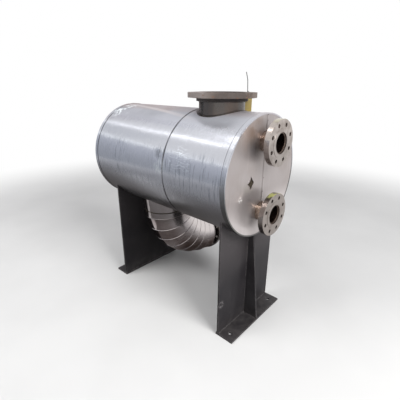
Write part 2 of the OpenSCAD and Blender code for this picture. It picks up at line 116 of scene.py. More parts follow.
class Graph:
    """A material's node tree, with short calls for the nodes that the finishes share."""

    def __init__(self, name: str) -> None:
        """Starts a material with one surface shader.

        Args:
            name: The material's name.
        """
        self.material = bpy.data.materials.new(name)
        self.material.use_nodes = True
        self.tree = self.material.node_tree
        self.tree.nodes.clear()
        self.shader = self.add("ShaderNodeBsdfPrincipled")
        self.output = self.add("ShaderNodeOutputMaterial")
        self.link(self.shader.outputs["BSDF"], self.output.inputs["Surface"])
        self.place = self.add("ShaderNodeTexCoord").outputs["Object"]

    def add(self, kind: str, **settings: object) -> bpy.types.Node:
        """Adds a node.

        Args:
            kind: The node's type.
            **settings: Attributes to set on it.

        Returns:
            The node.
        """
        node = self.tree.nodes.new(kind)
        for key, value in settings.items():
            setattr(node, key, value)
        return node

    def link(self, source: Socket, target: Socket) -> None:
        """Links one socket to another."""
        self.tree.links.new(source, target)

    def put(self, target: Socket, value: Socket | float | Colour) -> None:
        """Links a socket, or sets a plain value.

        Args:
            target: The input to fill.
            value: A socket to link, a number or a colour.
        """
        if isinstance(value, bpy.types.NodeSocket):
            self.link(value, target)
        elif isinstance(value, tuple) and target.type == "RGBA":
            target.default_value = (*value, 1.0)
        else:
            target.default_value = value

    def shade(self, **values: Socket | float | Colour) -> None:
        """Fills inputs of the shader.

        Args:
            **values: What goes in, by the inputs' names in small letters with underscores for spaces.
        """
        inputs = {socket.name.lower().replace(" ", "_"): socket for socket in self.shader.inputs}
        for name, value in values.items():
            self.put(inputs[name], value)

    def maths(self, operation: str, a: Socket | float, b: Socket | float = 0.0) -> Socket:
        """Calculates with numbers.

        Args:
            operation: The math node's operation.
            a: The first number.
            b: The second number, for the operations that take one.

        Returns:
            The result.
        """
        node = self.add("ShaderNodeMath", operation=operation)
        self.put(node.inputs[0], a)
        self.put(node.inputs[1], b)
        return node.outputs[0]

    def times(self, first: Socket | float, *others: Socket | float) -> Socket:
        """Multiplies numbers.

        Args:
            first: The first number.
            *others: The numbers that it is multiplied by.

        Returns:
            The product.
        """
        for other in others:
            first = self.maths("MULTIPLY", first, other)
        return first

    def plus(self, first: Socket | float, *others: Socket | float) -> Socket:
        """Adds numbers up.

        Args:
            first: The first number.
            *others: The numbers that are added to it.

        Returns:
            The sum.
        """
        for other in others:
            first = self.maths("ADD", first, other)
        return first

    def minus(self, a: Socket | float, b: Socket | float) -> Socket:
        """Takes the second number from the first."""
        return self.maths("SUBTRACT", a, b)

    def apart(self, a: Socket, b: float) -> Socket:
        """Gives how far a number is from another, on either side."""
        return self.maths("ABSOLUTE", self.minus(a, b))

    def vector(self, x: Socket | float, y: Socket | float, z: Socket | float) -> Socket:
        """Makes a vector of three numbers.

        Args:
            x: Its first number.
            y: Its second number.
            z: Its third number.

        Returns:
            The vector.
        """
        node = self.add("ShaderNodeCombineXYZ")
        for socket, value in zip(node.inputs, (x, y, z)):
            self.put(socket, value)
        return node.outputs[0]

    def parts(self, source: Socket | None = None) -> tuple[Socket, Socket, Socket]:
        """Splits a vector into X, Y and Z.

        Args:
            source: The vector; the place on the object if not given.

        Returns:
            The three numbers.
        """
        node = self.add("ShaderNodeSeparateXYZ")
        self.link(self.place if source is None else source, node.inputs[0])
        return node.outputs[0], node.outputs[1], node.outputs[2]

    def noise(self, scale: float, detail: float = 4.0, rough: float = 0.6, at: Socket | None = None,
              shape: Place = EVEN) -> Socket:
        """Adds a noise, from 0 to 1 about a middle of 0.5.

        Args:
            scale: Waves a metre.
            detail: Octaves.
            rough: Weight of the finer octaves.
            at: Where it is read; the place on the object if not given.
            shape: Stretch along X, Y and Z; a larger number makes it finer that way.

        Returns:
            The noise's value.
        """
        source = self.place if at is None else at
        if shape != EVEN:
            mapping = self.add("ShaderNodeMapping")
            self.link(source, mapping.inputs["Vector"])
            mapping.inputs["Scale"].default_value = shape
            source = mapping.outputs[0]
        node = self.add("ShaderNodeTexNoise")
        self.link(source, node.inputs["Vector"])
        for name, value in (("Scale", scale), ("Detail", detail), ("Roughness", rough)):
            node.inputs[name].default_value = value
        return node.outputs["Fac"]

    def cells(self, scale: float) -> Socket:
        """Adds the distance to scattered points on the object.

        Args:
            scale: Points a metre.

        Returns:
            The distance, 0 at a point.
        """
        node = self.add("ShaderNodeTexVoronoi")
        self.link(self.place, node.inputs["Vector"])
        node.inputs["Scale"].default_value = scale
        return node.outputs["Distance"]

    def ramp(self, value: Socket, low: float, high: float, start: float = 0.0, end: float = 1.0) -> Socket:
        """Turns a span of a value smoothly into another span.

        Args:
            value: What is read.
            low: Where the result starts to change.
            high: Where it has changed.
            start: The result below low.
            end: The result over high.

        Returns:
            The result.
        """
        node = self.add("ShaderNodeMapRange", interpolation_type="SMOOTHSTEP")
        for socket, number in zip(node.inputs[:5], (value, low, high, start, end)):
            self.put(socket, number)
        return node.outputs[0]

    def mix(self, factor: Socket | float, a: Socket | Colour, b: Socket | Colour) -> Socket:
        """Mixes two colours.

        Args:
            factor: Share of the second colour.
            a: The first colour.
            b: The second colour.

        Returns:
            The mixed colour.
        """
        node = self.add("ShaderNodeMix", data_type="RGBA")
        for index, value in ((MIX_FACTOR, factor), (MIX_A, a), (MIX_B, b)):
            self.put(node.inputs[index], value)
        return node.outputs[MIX_RESULT]

    def wash(self, colour: Socket | Colour, tint: Colour, value: Socket, span: Span,
             amount: float = 1.0) -> Socket:
        """Tints a colour where a value has passed a span.

        Args:
            colour: The colour under the tint.
            tint: The tint.
            value: What is read.
            span: Where the tint starts and where it is full.
            amount: Its share where it is full.

        Returns:
            The tinted colour.
        """
        return self.mix(self.ramp(value, *span, 0.0, amount), colour, tint)

    def spot(self, centre: Place, radius: float, soft: float = 0.5) -> Socket:
        """Marks a round place on the object.

        Args:
            centre: Its middle.
            radius: Its radius.
            soft: The share of the radius over which it fades.

        Returns:
            1 inside and 0 outside.
        """
        node = self.add("ShaderNodeVectorMath", operation="DISTANCE")
        self.link(self.place, node.inputs[0])
        node.inputs[1].default_value = centre
        return self.ramp(node.outputs["Value"], radius * (1 - soft), radius, 1.0, 0.0)

    def mark(self, colour: Socket, mark: Mark, pattern: Socket | float = 1.0) -> Socket:
        """Lays a mark over a colour.

        Args:
            colour: The colour under it.
            mark: The mark.
            pattern: Where within the mark its tint shows, from 0 to 1.

        Returns:
            The marked colour.
        """
        share = self.times(self.spot(mark.at, mark.radius, mark.soft), pattern, mark.amount)
        return self.mix(share, colour, mark.tint)

    def around(self, centre: Place, along: Along) -> tuple[Socket, Socket]:
        """Gives the angle round an axis and the distance from it.

        Args:
            centre: A point on the axis.
            along: The axis.

        Returns:
            The angle in radians and the distance.
        """
        across = {Along.X: (1, 2), Along.Y: (0, 2), Along.Z: (0, 1)}[along]
        place = self.parts()
        a, b = (self.minus(place[axis], centre[axis]) for axis in across)
        square = self.plus(self.times(a, a), self.times(b, b))
        return self.maths("ARCTAN2", a, b), self.maths("SQRT", square)

    def rings(self, radius: Socket, face_r: float, amount: float) -> Socket:
        """Adds the turned rings of a flange's raised face.

        Args:
            radius: The distance from the flange's axis.
            face_r: The raised face's radius.
            amount: The rings' height as a share of the relief's.

        Returns:
            Their height.
        """
        wave = self.maths("SINE", self.times(radius, 2 * math.pi / RING_PITCH))
        return self.times(wave, self.ramp(radius, face_r, face_r - 0.001), amount)

    def bump(self, height: Socket, distance: float, strength: float = 1.0, round_edge: float = 0.0) -> None:
        """Gives the shader a relief.

        Args:
            height: The relief's height, from 0 to 1.
            distance: The height of 1, in metres.
            strength: How much of it shows.
            round_edge: Radius to which sharp edges look rounded.
        """
        node = self.add("ShaderNodeBump")
        node.inputs["Strength"].default_value = strength
        node.inputs["Distance"].default_value = distance
        self.link(height, node.inputs["Height"])
        if round_edge:
            self.link(self.bevelled(round_edge), node.inputs["Normal"])
        self.link(node.outputs[0], self.shader.inputs["Normal"])

    def bevelled(self, radius: float) -> Socket:
        """Gives the normal that the surface has with its edges rounded.

        Args:
            radius: The edges' radius.

        Returns:
            The normal.
        """
        edge = self.add("ShaderNodeBevel", samples=4)
        edge.inputs["Radius"].default_value = radius
        return edge.outputs[0]

    def surface(self, colour: Socket | Colour, roughness: Socket | float, metallic: Socket | float) -> None:
        """Sets the shader's colour, roughness and metal.

        Args:
            colour: The base colour.
            roughness: From 0, a mirror, to 1.
            metallic: 1 for bare metal.
        """
        self.shade(base_color=colour, roughness=roughness, metallic=metallic)

    def glow(self, colour: Socket | Colour) -> None:
        """Makes the surface show a colour without any lamp."""
        self.surface(BLACK, 1.0, 0.0)
        self.shade(emission_color=colour, emission_strength=1.0)


@dataclass(frozen=True)
class JacketSheet:
    """Aluminium cladding, brushed round the shell, dented and wiped, duller and darker towards its underside
    from soiling and painted shade, with a painted warm reflection and a painted highlight line on its crown
    and a painted dark reflection on its front rim.

    Angles are from the jacket's top, on either side. A span holds where a zone starts to fade and
    where the fade ends, or the other way round. The painted highlight line starts at an X and a Y. Each
    seam holds its place along X, half the width of its dark line and how dark that is.
    """

    bright: Colour = (0.60, 0.61, 0.66)
    streak: Colour = (0.33, 0.35, 0.39)
    soiling_and_painted_shade: Colour = (0.21, 0.195, 0.19)
    seam_soiling_and_shade: Colour = (0.06, 0.055, 0.055)
    rim_painted_reflection: Colour = (0.14, 0.14, 0.132)
    cool_dust: Colour = (0.31, 0.315, 0.345)
    warm_painted_reflection: Colour = (0.31, 0.235, 0.215)
    painted_highlight_line: Colour = (0.62, 0.55, 0.52)
    top_turn: Span = (0.78, 0.42)
    flank_turn: float = 1.45
    flank_fade: Span = (0.22, 0.42)
    rim_turn: Span = (1.25, 1.75)
    under_z: Span = (AXIS_Z + 0.04, AXIS_Z - 0.225)
    dusty_x: Span = (-0.18, 0.04)
    warm_y: Span = (-0.14, -0.085)
    line_start: Span = (-0.45, -0.066)
    line_slope: float = 0.17
    line_half: Span = (0.022, 0.004)
    line_end_x: Span = (0.25, 0.05)
    seams: tuple[Triple, ...] = (
        (FRONT_X - RIM_W - 0.0004, 0.0030, 0.85),
        (REAR_X + RIM_W + 0.0004, 0.0036, 0.90),
        (JOINT_X - 0.0030, 0.0066, 0.65),
        (FRONT_X - 0.0010, 0.0012, 0.35),
    )
    smear: Mark = Mark((-0.53, -0.148, 1.322), 0.11, 0.5, 1.0, (0.90, 0.95, 0.97))
    scrape: Mark = Mark((0.235, -0.342, 1.097), 0.11, 0.4, 0.7, (0.80, 0.83, 0.88))
    grime_and_painted_reflection: Mark = Mark((0.055, -0.337, 1.115), 0.045, 0.8, 0.5, (0.20, 0.21, 0.215))
    wiped: Mark = Mark((0.075, -0.352, 1.045), 0.07, 0.7, 0.7, (0.82, 0.85, 0.86))
    dents: tuple[tuple[Place, float], ...] = (((0.04, -0.338, 1.112), 0.045), ((0.088, -0.344, 1.080), 0.038))

    def make(self) -> bpy.types.Material:
        """Builds the jacket's material.

        Returns:
            The material.
        """
        g = Graph("jacket_sheet")
        x, _, z = g.parts()
        angle, _ = g.around((0, 0, AXIS_Z), Along.X)
        turn = g.maths("ABSOLUTE", angle)
        sheet = g.vector(x, g.times(angle, JACKET_R), 0.0)
        fine = g.noise(1.0, 3, 0.6, sheet, (420.0, 5.0, 1.0))
        broad = g.noise(1.0, 4, 0.65, sheet, (90.0, 9.0, 1.0))
        patch = g.noise(1.0, 3, 0.55, sheet, (3.2, 4.5, 1.0))
        top = g.ramp(turn, *self.top_turn)
        # Soiling and painted shade: the sheet darkens towards its underside.
        patchy_soiling_and_shade = g.ramp(g.noise(3.0, 3), 0.2, 0.8, 0.72, 0.95)
        under = g.times(g.ramp(z, *self.under_z), patchy_soiling_and_shade)

        colour = self._brushed(g, turn, broad, fine, patch)
        colour = self._dust_and_painted_crown(g, colour, top, patch)
        colour = g.mix(under, colour, self.soiling_and_painted_shade)
        colour = self._marked(g, colour, sheet)
        # Painted dark reflection on the lower part of the front rim band.
        rim_x = FRONT_X - RIM_W
        on_rim = g.ramp(x, rim_x - 0.0007, rim_x + 0.0009)
        colour = g.mix(g.times(on_rim, g.ramp(turn, *self.rim_turn, 0.0, 0.8)), colour, self.rim_painted_reflection)

        dull = g.plus(g.ramp(broad, 0.3, 0.7, 0.17, 0.26), g.times(under, 0.16), g.times(top, 0.20))
        rough = g.plus(dull, g.ramp(fine, 0.3, 0.7, -0.02, 0.04))
        g.surface(colour, rough, g.minus(1.0, g.times(top, 0.55)))
        g.shade(anisotropic=0.4, tangent=g.vector(1.0, 0.0, 0.0))
        g.bump(self._relief(g, sheet, fine), 0.0016, 0.7)
        return g.material

    def _brushed(self, g: Graph, turn: Socket, broad: Socket, fine: Socket, patch: Socket) -> Socket:
        """Gives the bare sheet's colour: streaks down the flanks, and soiling and painted shade along the
        seams.

        Args:
            g: The material's graph.
            turn: The angle from the top, on either side.
            broad: The noise of the streaks.
            fine: The noise of the brushing.
            patch: The noise of the large patches.

        Returns:
            The colour.
        """
        flank = g.ramp(g.apart(turn, self.flank_turn), *self.flank_fade, 1.0, 0.0)
        streaks = g.times(g.ramp(broad, 0.50, 0.66), g.ramp(flank, 0.0, 1.0, 0.06, 0.92))
        streaks = g.times(streaks, g.ramp(patch, 0.38, 0.58, 0.15, 1.0))
        colour = g.mix(streaks, self.bright, self.streak)
        colour = g.wash(colour, self.streak, fine, (0.42, 0.72), 0.12)
        x, _, _ = g.parts()
        # Soiling and painted shade along the seams: a dark line in each rim's step and beside the joint.
        for line, half, dark in self.seams:
            near = g.ramp(g.apart(x, line), half, half * 0.4, 0.0, dark)
            colour = g.mix(g.times(near, g.ramp(patch, 0.3, 0.6, 0.6, 1.0)), colour, self.seam_soiling_and_shade)
        return colour

    def _dust_and_painted_crown(self, g: Graph, colour: Socket, top: Socket, patch: Socket) -> Socket:
        """Lays dust along the jacket's top, with a painted warm reflection on the crown's far side and a
        painted highlight line slanting across the crown.

        Args:
            g: The material's graph.
            colour: The colour under the dust.
            top: 1 on the top of the jacket.
            patch: The noise of the large patches.

        Returns:
            The dusty colour.
        """
        x, y, _ = g.parts()
        dust = g.times(top, g.ramp(patch, 0.3, 0.7, 0.55, 0.9), g.ramp(x, *self.dusty_x, 1.0, 0.5))
        # Dust on the crown, with a painted warm reflection towards its far side.
        crown = g.mix(g.ramp(y, *self.warm_y), self.cool_dust, self.warm_painted_reflection)
        # A painted highlight line slanting across the crown.
        start_x, start_y = self.line_start
        slant = g.plus(y, g.times(g.minus(x, start_x), self.line_slope))
        line = g.ramp(g.apart(slant, start_y), *self.line_half, 0.0, 0.75)
        line = g.times(line, g.ramp(x, *self.line_end_x))
        return g.mix(dust, colour, g.mix(line, crown, self.painted_highlight_line))

    def _marked(self, g: Graph, colour: Socket, sheet: Socket) -> Socket:
        """Lays the smear, the scrape, the grime and the wiped patch over the sheet.

        Args:
            g: The material's graph.
            colour: The colour under them.
            sheet: The place on the sheet laid flat.

        Returns:
            The marked colour.
        """
        swirl = g.ramp(g.apart(g.noise(11.0, 2, 0.6), 0.5), 0.045, 0.018)
        scratches = g.ramp(g.apart(g.noise(1.0, 2, 0.5, sheet, (13.0, 30.0, 1.0)), 0.5), 0.022, 0.007)
        specks = g.ramp(g.noise(55.0, 3), 0.40, 0.54)
        strokes = g.ramp(g.noise(1.0, 3, 0.6, sheet, (70.0, 16.0, 1.0)), 0.44, 0.58)
        colour = g.mark(colour, self.smear, swirl)
        colour = g.mark(colour, self.scrape, scratches)
        colour = g.mark(colour, self.grime_and_painted_reflection, specks)
        return g.mark(colour, self.wiped, strokes)

    def _relief(self, g: Graph, sheet: Socket, fine: Socket) -> Socket:
        """Gives the height of the sheet's waves and dents.

        Args:
            g: The material's graph.
            sheet: The place on the sheet laid flat.
            fine: The noise of the brushing.

        Returns:
            The height.
        """
        long_waves = g.times(g.noise(1.0, 2, 0.5, sheet, (5.0, 7.0, 1.0)), 1.9)
        short_waves = g.times(g.noise(1.0, 2, 0.5, sheet, (15.0, 26.0, 1.0)), 0.28)
        dents = g.plus(*(g.spot(centre, radius, 1.0) for centre, radius in self.dents))
        return g.minus(g.plus(long_waves, short_waves, g.times(fine, 0.012)), dents)


@dataclass(frozen=True)
class PlateSheet:
    """Warm satin sheet of the end plates, with wipe marks, blotches and a few scuffs, painted light towards
    the front plate's foot and beside its upper nozzle, and painted shade by that nozzle's hub.
    """

    base: Colour = (0.405, 0.366, 0.360)
    warm: Colour = (0.345, 0.292, 0.268)
    foot: Colour = (0.66, 0.61, 0.60)
    wiped: Colour = (0.52, 0.475, 0.465)
    foot_z: Span = (0.92, 0.78)
    painted_light_patch: Mark = Mark((FRONT_X, -0.15, 1.275), 0.15, 1.0, 1.0, (0.64, 0.555, 0.525))
    rubbed: Mark = Mark((FRONT_X, -0.12, 1.262), 0.13, 1.0, 0.75, (0.40, 0.285, 0.215))
    hub_painted_shade: Mark = Mark((FRONT_X, -0.118, 1.188), 0.075, 0.9, 0.6, (0.15, 0.145, 0.155))
    scuff: Mark = Mark((FRONT_X, -0.212, 0.916), 0.024, 0.7, 1.0, (0.92, 0.91, 0.90))

    def make(self) -> bpy.types.Material:
        """Builds the end plates' material.

        Returns:
            The material.
        """
        g = Graph("end_plate")
        _, _, z = g.parts()
        blotch = g.noise(3.4, 4, 0.55)
        swirl = g.noise(9.0, 4, 0.6)
        strokes = g.noise(1.0, 4, 0.6, None, (1.0, 60.0, 5.0))
        grain = g.noise(1.0, 2, 0.5, None, (1.0, 700.0, 40.0))
        colour = g.wash(self.base, self.warm, blotch, (0.42, 0.70), 0.65)
        # Painted light: the plate is lighter towards its foot.
        colour = g.wash(colour, self.foot, z, self.foot_z, 0.8)
        # A painted light patch beside the upper nozzle.
        colour = g.mark(colour, self.painted_light_patch)
        colour = g.mark(colour, self.rubbed, g.ramp(swirl, 0.38, 0.56))
        # Painted shade at the lower left of the upper nozzle's hub.
        colour = g.mark(colour, self.hub_painted_shade)
        colour = g.wash(colour, self.wiped, strokes, (0.52, 0.68), 0.28)
        colour = g.mark(colour, self.scuff, g.ramp(g.noise(120.0, 2), 0.48, 0.54))
        rough = g.plus(g.ramp(blotch, 0.3, 0.7, 0.33, 0.42), g.ramp(grain, 0.3, 0.7, -0.02, 0.04))
        g.surface(colour, rough, 0.74)
        g.bump(g.plus(g.noise(2.2, 2, 0.4), g.times(grain, 0.004)), 0.006, 0.3, 0.0008)
        return g.material


@dataclass(frozen=True)
class BendSheet:
    """Bright smooth cladding of the outlet bend, handled and creased, with soiling, painted shade and a
    painted dark reflection low down, and painted shade on its top under the shell.

    The spans over "up" and "ahead" are shares of the way that the surface faces: 1 is straight up or
    straight along X.
    """

    bright: Colour = (0.69, 0.635, 0.625)
    soiling_and_painted_shade: Colour = (0.135, 0.078, 0.066)
    shaded: Colour = (0.17, 0.15, 0.142)
    specks: Colour = (0.10, 0.060, 0.042)
    grime_and_painted_reflection: Colour = (0.036, 0.017, 0.010)
    far_y: Span = (-0.05, 0.08)
    shaded_y: Span = (0.10, 0.03)
    shaded_z: Span = (0.50, 0.58)
    lit_ahead: Span = (0.30, 0.62)
    low_up: Span = (0.06, -0.40)
    deep_up: Span = (-0.06, -0.50)
    edge_up: float = -0.12
    edge_fade: Span = (0.30, 0.10)
    creased_at: Place = (-0.13, 0.30, 0.22)
    creased_r: float = 0.20

    def make(self) -> bpy.types.Material:
        """Builds the bend's material.

        Returns:
            The material.
        """
        g = Graph("bend_sheet")
        _, y, z = g.parts()
        ahead, _, up = g.parts(g.add("ShaderNodeNewGeometry").outputs["True Normal"])
        blotch = g.noise(7.0, 5, 0.65)
        far = g.ramp(y, *self.far_y)
        lit = g.ramp(ahead, *self.lit_ahead)
        # Soiling and painted shade on the surfaces that face down, standing in for the dark floor that they
        # mirror.
        low = g.times(g.ramp(up, *self.low_up), g.ramp(far, 0.0, 1.0, 0.70, 0.95))
        deep = g.times(g.ramp(up, *self.deep_up, 0.0, 0.90), far)

        soiling_and_low_shade = g.times(low, g.ramp(blotch, 0.25, 0.65, 0.6, 1.0))
        soiling_and_low_shade = g.plus(soiling_and_low_shade, g.ramp(g.noise(38.0, 4, 0.7), 0.55, 0.75, 0.0, 0.10))
        colour = g.mix(soiling_and_low_shade, self.bright, self.soiling_and_painted_shade)
        # Painted shade on the bend's top, under the shell.
        shaded = g.times(g.ramp(z, *self.shaded_z, 0.0, 0.66), g.ramp(y, *self.shaded_y))
        colour = g.mix(shaded, colour, self.shaded)
        edge = g.ramp(g.apart(up, self.edge_up), *self.edge_fade, 0.0, 0.5)
        speck = g.times(edge, g.ramp(g.noise(120.0, 3, 0.7), 0.55, 0.61), far)
        colour = g.mix(speck, colour, self.specks)
        # Soiling and a painted dark reflection on the far underside.
        colour = g.mix(deep, colour, self.grime_and_painted_reflection)

        rough = g.plus(g.ramp(blotch, 0.3, 0.75, 0.08, 0.16), g.times(lit, 0.10), g.times(deep, 0.4))
        metal = g.minus(1.0, g.plus(g.times(lit, 0.08), g.times(deep, 0.9)))
        g.surface(colour, rough, metal)
        g.shade(specular_ior_level=0.25)
        crease = g.times(g.cells(34.0), g.spot(self.creased_at, self.creased_r, 0.7))
        g.bump(g.plus(g.noise(9.0, 2, 0.5), g.times(crease, 0.3)), 0.004, 0.32)
        return g.material


@dataclass(frozen=True)
class FlangeFace:
    """One flange as its finish needs it: a point on its face's middle, its axis and its radii."""

    centre: Place
    along: Along = Along.X
    rim_r: float = 0.127
    face_r: float = 0.0786
    bore_r: float = 0.0512


@dataclass(frozen=True)
class FlangeSteel:
    """Machined flange steel, tarnished warm, with a ringed raised face and a dab of marking paint.

    The paint's and the edge's spans lie inside the rim, and the stain's width outside the bore.
    """

    name: str
    flange: FlangeFace
    base: Colour = (0.33, 0.29, 0.266)
    tarnish: Colour = (0.235, 0.19, 0.165)
    freckle: Colour = (0.15, 0.10, 0.075)
    shadow: Colour = (0.06, 0.055, 0.052)
    bore: Colour = (0.11, 0.07, 0.05)
    paint: Colour = (0.42, 0.43, 0.12)
    bore_stain: float = 0.012
    edge_in: Span = (0.0008, 0.0002)
    paint_in: Span = (0.0035, 0.0008)
    paint_turn: Span = (0.60, 0.34)
    paint_amount: float = 1.0
    shadow_off: Span = (0.09, -0.05)
    shadow_amount: float = 0.0

    def make(self) -> bpy.types.Material:
        """Builds the flange's material.

        Returns:
            The material.
        """
        g = Graph(self.name)
        _, _, z = g.parts()
        angle, radius = g.around(self.flange.centre, self.flange.along)
        bore_r, rim_r = self.flange.bore_r, self.flange.rim_r
        stain = g.noise(16.0, 5, 0.65)
        spots = g.noise(75.0, 4, 0.7)
        colour = g.wash(self.base, self.tarnish, stain, (0.42, 0.68), 0.45)
        colour = g.wash(colour, self.freckle, spots, (0.60, 0.72), 0.35)
        height = g.minus(z, self.flange.centre[2])
        colour = g.wash(colour, self.shadow, height, self.shadow_off, self.shadow_amount)
        colour = g.wash(colour, self.bore, radius, (bore_r + self.bore_stain, bore_r), 0.85)

        on_top = g.ramp(g.maths("ABSOLUTE", angle), *self.paint_turn)
        dab = g.times(g.ramp(radius, *(rim_r - depth for depth in self.paint_in)), on_top)
        dab = g.times(dab, g.ramp(g.noise(34.0, 4, 0.7), 0.40, 0.50), self.paint_amount)
        colour = g.mix(g.times(dab, 0.85), colour, self.paint)
        rough = g.ramp(stain, 0.3, 0.7, 0.32, 0.5)
        rough = g.minus(rough, g.ramp(radius, *(rim_r - depth for depth in self.edge_in), 0.0, 0.21))
        g.surface(colour, rough, g.minus(1.0, g.times(dab, 0.8)))
        g.bump(g.plus(g.rings(radius, self.flange.face_r, 0.12), g.times(spots, 0.6)), 0.0006, 0.8, 0.0012)
        return g.material


@dataclass(frozen=True)
class NeckSteel:
    """Tan heat-tinted steel of the small nozzles' necks, with brown stains and bright worn places."""

    name: str
    tan: Colour
    flange: FlangeFace
    stain: Colour = (0.10, 0.068, 0.052)
    worn: Colour = (0.62, 0.56, 0.50)
    bore: Colour = (0.052, 0.027, 0.021)
    bore_out: Span = (0.003, 0.0015)

    def make(self) -> bpy.types.Material:
        """Builds the neck's material.

        Returns:
            The material.
        """
        g = Graph(self.name)
        _, radius = g.around(self.flange.centre, self.flange.along)
        bore = tuple(self.flange.bore_r + out for out in self.bore_out)
        broad = g.noise(21.0, 5, 0.65)
        small = g.noise(33.0, 3, 0.6)
        colour = g.wash(self.tan, self.stain, broad, (0.44, 0.66), 0.7)
        colour = g.wash(colour, self.worn, small, (0.58, 0.72), 0.6)
        colour = g.wash(colour, self.bore, radius, bore, 0.92)
        g.surface(colour, g.ramp(small, 0.3, 0.7, 0.34, 0.22), 0.95)
        g.bump(g.plus(broad, small), 0.0008, 0.7, 0.0012)
        return g.material


@dataclass(frozen=True)
class WeatheredSteel:
    """The top flange: beige and brown weathering over dull steel, with rust freckles and painted shadow on
    the hub under it.

    Painted light on one side and painted shade in the middle run across the flange, along a level direction
    given by its X and Y.
    """

    beige: Colour = (0.21, 0.172, 0.15)
    brown: Colour = (0.105, 0.078, 0.064)
    rust: Colour = (0.23, 0.095, 0.04)
    fleck: Colour = (0.33, 0.29, 0.26)
    painted_light_side: Colour = (0.42, 0.375, 0.36)
    painted_shade_side: Colour = (0.075, 0.066, 0.062)
    hub: Colour = (0.022, 0.018, 0.019)
    across: Span = (0.74, 0.67)
    painted_light_span: Span = (0.13, 0.06)
    painted_shade_middle: float = 0.232
    painted_shade_fade: Span = (0.13, 0.05)
    hub_z: float = TOP_FACE[2] - 0.0301
    face_r: float = 0.1619

    def make(self) -> bpy.types.Material:
        """Builds the top flange's material.

        Returns:
            The material.
        """
        g = Graph("weathered_steel")
        x, y, z = g.parts()
        across = g.plus(g.times(x, self.across[0]), g.times(y, self.across[1]))
        _, radius = g.around(TOP_FACE, Along.Z)
        broad = g.noise(11.0, 5, 0.65)
        small = g.noise(58.0, 5, 0.7)
        colour = g.wash(self.beige, self.brown, broad, (0.36, 0.62))
        colour = g.wash(colour, self.fleck, small, (0.56, 0.70), 0.8)
        # Painted light on one side of the flange and painted shade across its middle.
        colour = g.wash(colour, self.painted_light_side, across, self.painted_light_span, 0.5)
        colour = g.wash(colour, self.painted_shade_side, g.apart(across, self.painted_shade_middle), self.painted_shade_fade, 0.55)
        colour = g.wash(colour, self.rust, g.noise(34.0, 4, 0.75), (0.58, 0.66), 0.55)
        # Painted shadow on the hub under the flange.
        colour = g.wash(colour, self.hub, z, (self.hub_z + 0.0007, self.hub_z - 0.0007), 0.8)
        g.surface(colour, g.ramp(small, 0.3, 0.7, 0.5, 0.78), g.ramp(broad, 0.35, 0.65, 0.55, 0.2))
        g.bump(g.plus(g.rings(radius, self.face_r, 0.1), small), 0.0009, 0.8, 0.0015)
        return g.material


@dataclass(frozen=True)
class DarkSteel:
    """Dark mill-finish pipe with a dull sheen, brown bloom and rubbed places."""

    base: Colour = (0.115, 0.105, 0.10)
    bloom: Colour = (0.15, 0.118, 0.10)
    freckle: Colour = (0.06, 0.045, 0.04)

    def make(self) -> bpy.types.Material:
        """Builds the dark steel's material.

        Returns:
            The material.
        """
        g = Graph("dark_steel")
        stain = g.noise(12.0, 5, 0.65, None, (1.0, 1.0, 0.35))
        small = g.noise(95.0, 4, 0.7)
        colour = g.wash(self.base, self.bloom, stain, (0.40, 0.68), 0.75)
        colour = g.wash(colour, self.freckle, small, (0.60, 0.72), 0.5)
        g.surface(colour, g.ramp(stain, 0.3, 0.7, 0.22, 0.40), 0.92)
        g.bump(g.plus(small, stain), 0.0006, 0.6, 0.0008)
        return g.material


@dataclass(frozen=True)
class VesselSteel:
    """Rusty bare steel of the pressure shell, channel and tubes."""

    scale: Colour = (0.085, 0.062, 0.052)
    rust: Colour = (0.23, 0.105, 0.05)
    fresh: Colour = (0.34, 0.19, 0.10)

    def make(self) -> bpy.types.Material:
        """Builds the vessel's material.

        Returns:
            The material.
        """
        g = Graph("vessel_steel")
        small = g.noise(70.0, 5, 0.75)
        colour = g.wash(self.scale, self.rust, g.noise(9.0, 5, 0.7), (0.38, 0.62))
        colour = g.wash(colour, self.fresh, small, (0.55, 0.70), 0.8)
        g.surface(colour, g.ramp(small, 0.3, 0.7, 0.62, 0.88), 0.25)
        g.bump(small, 0.0012, 0.9)
        return g.material


